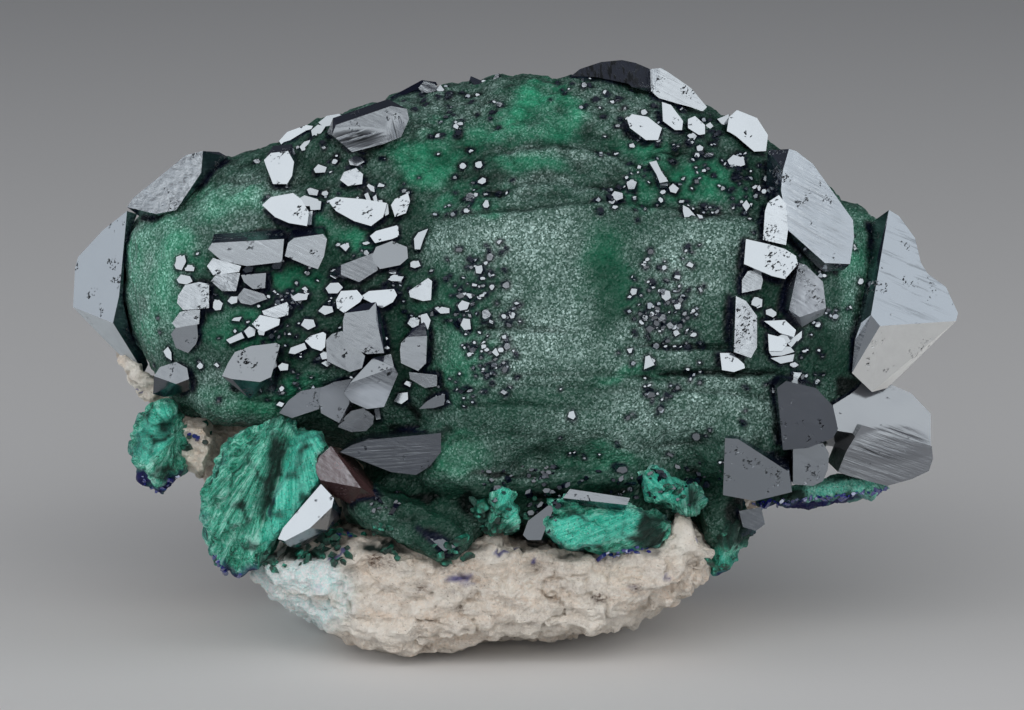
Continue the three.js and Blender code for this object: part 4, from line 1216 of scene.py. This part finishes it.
ground = tree_of([dome])
small = Crystals(ground, 5)
for corners in OUTLINED:
    small.add(corners)
for right, down, width, height in CENTRED:
    in_band = right < 430 or right > 700 or down < 225
    shape = small.outline((right, down), (width, height))
    if in_band:
        small.add(shape, wild=0.1, stand=0.4, lean=0.2)
    else:
        small.add(shape, wild=0.32, stand=0.35, lean=0.6)
for box, count, low, high in SCATTERS:
    small.scatter(box, count, low, high)
small_azurite = small.mesh("small_azurite")
dress(small_azurite, None, LOOK["small"])
low_ground = tree_of([dome, rock, *fans])
debris = Crystals(low_ground, 9)
for box, count, low, high in CREVICE:
    debris.scatter(box, count, low, high, stand=0.8)
dress(debris.mesh("crevice_azurite"), None, LOOK["dull"])
shards = Crystals(low_ground, 17)
for box, count, low, high in SHARDS:
    shards.scatter(box, count, low, high, stand=0.6)
dress(shards.mesh("malachite_shards"), None, LOOK["shard"])
violet = Crystals(low_ground, 13)
for line in VIOLET_LINES:
    violet.along(line, spacing=3.2, low=3, high=7)
dress(violet.mesh("violet_azurite"), None, LOOK["violet"])
colour_dome(dome, dome_groove_shade, dome_crest_highlight, dome_hollows, large_tree, tree_of([small_azurite]))

# Floor, lights and camera


def make_floor():
    mesh = bpy.data.meshes.new("floor")
    half = 3.0
    corners = [(-half, -half, 0), (half, -half, 0), (half, half, 0), (-half, half, 0)]
    mesh.from_pydata(corners, [], [(0, 1, 2, 3)])
    floor = link("floor", mesh)
    m = Nodes("floor_paper")
    floor.data.materials.append(m.finish((0.7, 0.69, 0.68), 0.8))


def softbox(name, azimuth, elevation, distance, size, radiance, tint=(1, 1, 1)):
    """A rectangular light that faces the specimen. Azimuth 0 is in front, and 90 to the right."""
    a, e = math.radians(azimuth), math.radians(elevation)
    way = Vector((math.sin(a) * math.cos(e), -math.cos(a) * math.cos(e), math.sin(e)))
    light = bpy.data.lights.new(name, "AREA")
    light.shape = "RECTANGLE"
    light.size, light.size_y = size
    light.energy = radiance * math.pi * size[0] * size[1]
    light.color = tint
    obj = bpy.data.objects.new(name, light)
    obj.location = Vector((0, 0, LIT_HEIGHT)) + way * distance
    obj.rotation_mode = "QUATERNION"
    obj.rotation_quaternion = way.to_track_quat("Z", "Y")
    bpy.context.scene.collection.objects.link(obj)


def make_camera():
    camera = bpy.data.cameras.new("camera")
    camera.sensor_width = SENSOR_MM
    camera.lens = SENSOR_MM * DISTANCE / (PHOTO_WIDTH * PIXEL)
    camera.clip_start = 0.01
    obj = bpy.data.objects.new("camera", camera)
    obj.location = Vector(EYE)
    obj.rotation_mode = "QUATERNION"
    obj.rotation_quaternion = Vector(-TO_VIEWER).to_track_quat("-Z", "Y")
    bpy.context.scene.collection.objects.link(obj)
    bpy.context.scene.camera = obj


make_floor()
softbox("front_light", 0, 31, 1.3, (1.7, 1.0), 2.4)
softbox("low_light", 0, 6, 1.35, (1.9, 0.24), 1.3)
softbox("left_light", -70, 20, 1.2, (1.1, 0.9), 1.7, (0.93, 0.96, 1))
softbox("right_light", 68, 22, 1.2, (1.0, 0.9), 1.6, (0.93, 0.96, 1))
world = bpy.data.worlds.new("studio")
world.use_nodes = True
world.node_tree.nodes["Background"].inputs["Color"].default_value = (0.6, 0.65, 0.75, 1)
world.node_tree.nodes["Background"].inputs["Strength"].default_value = 0.12
bpy.context.scene.world = world
bpy.context.scene.view_settings.view_transform = "Standard"
make_camera()
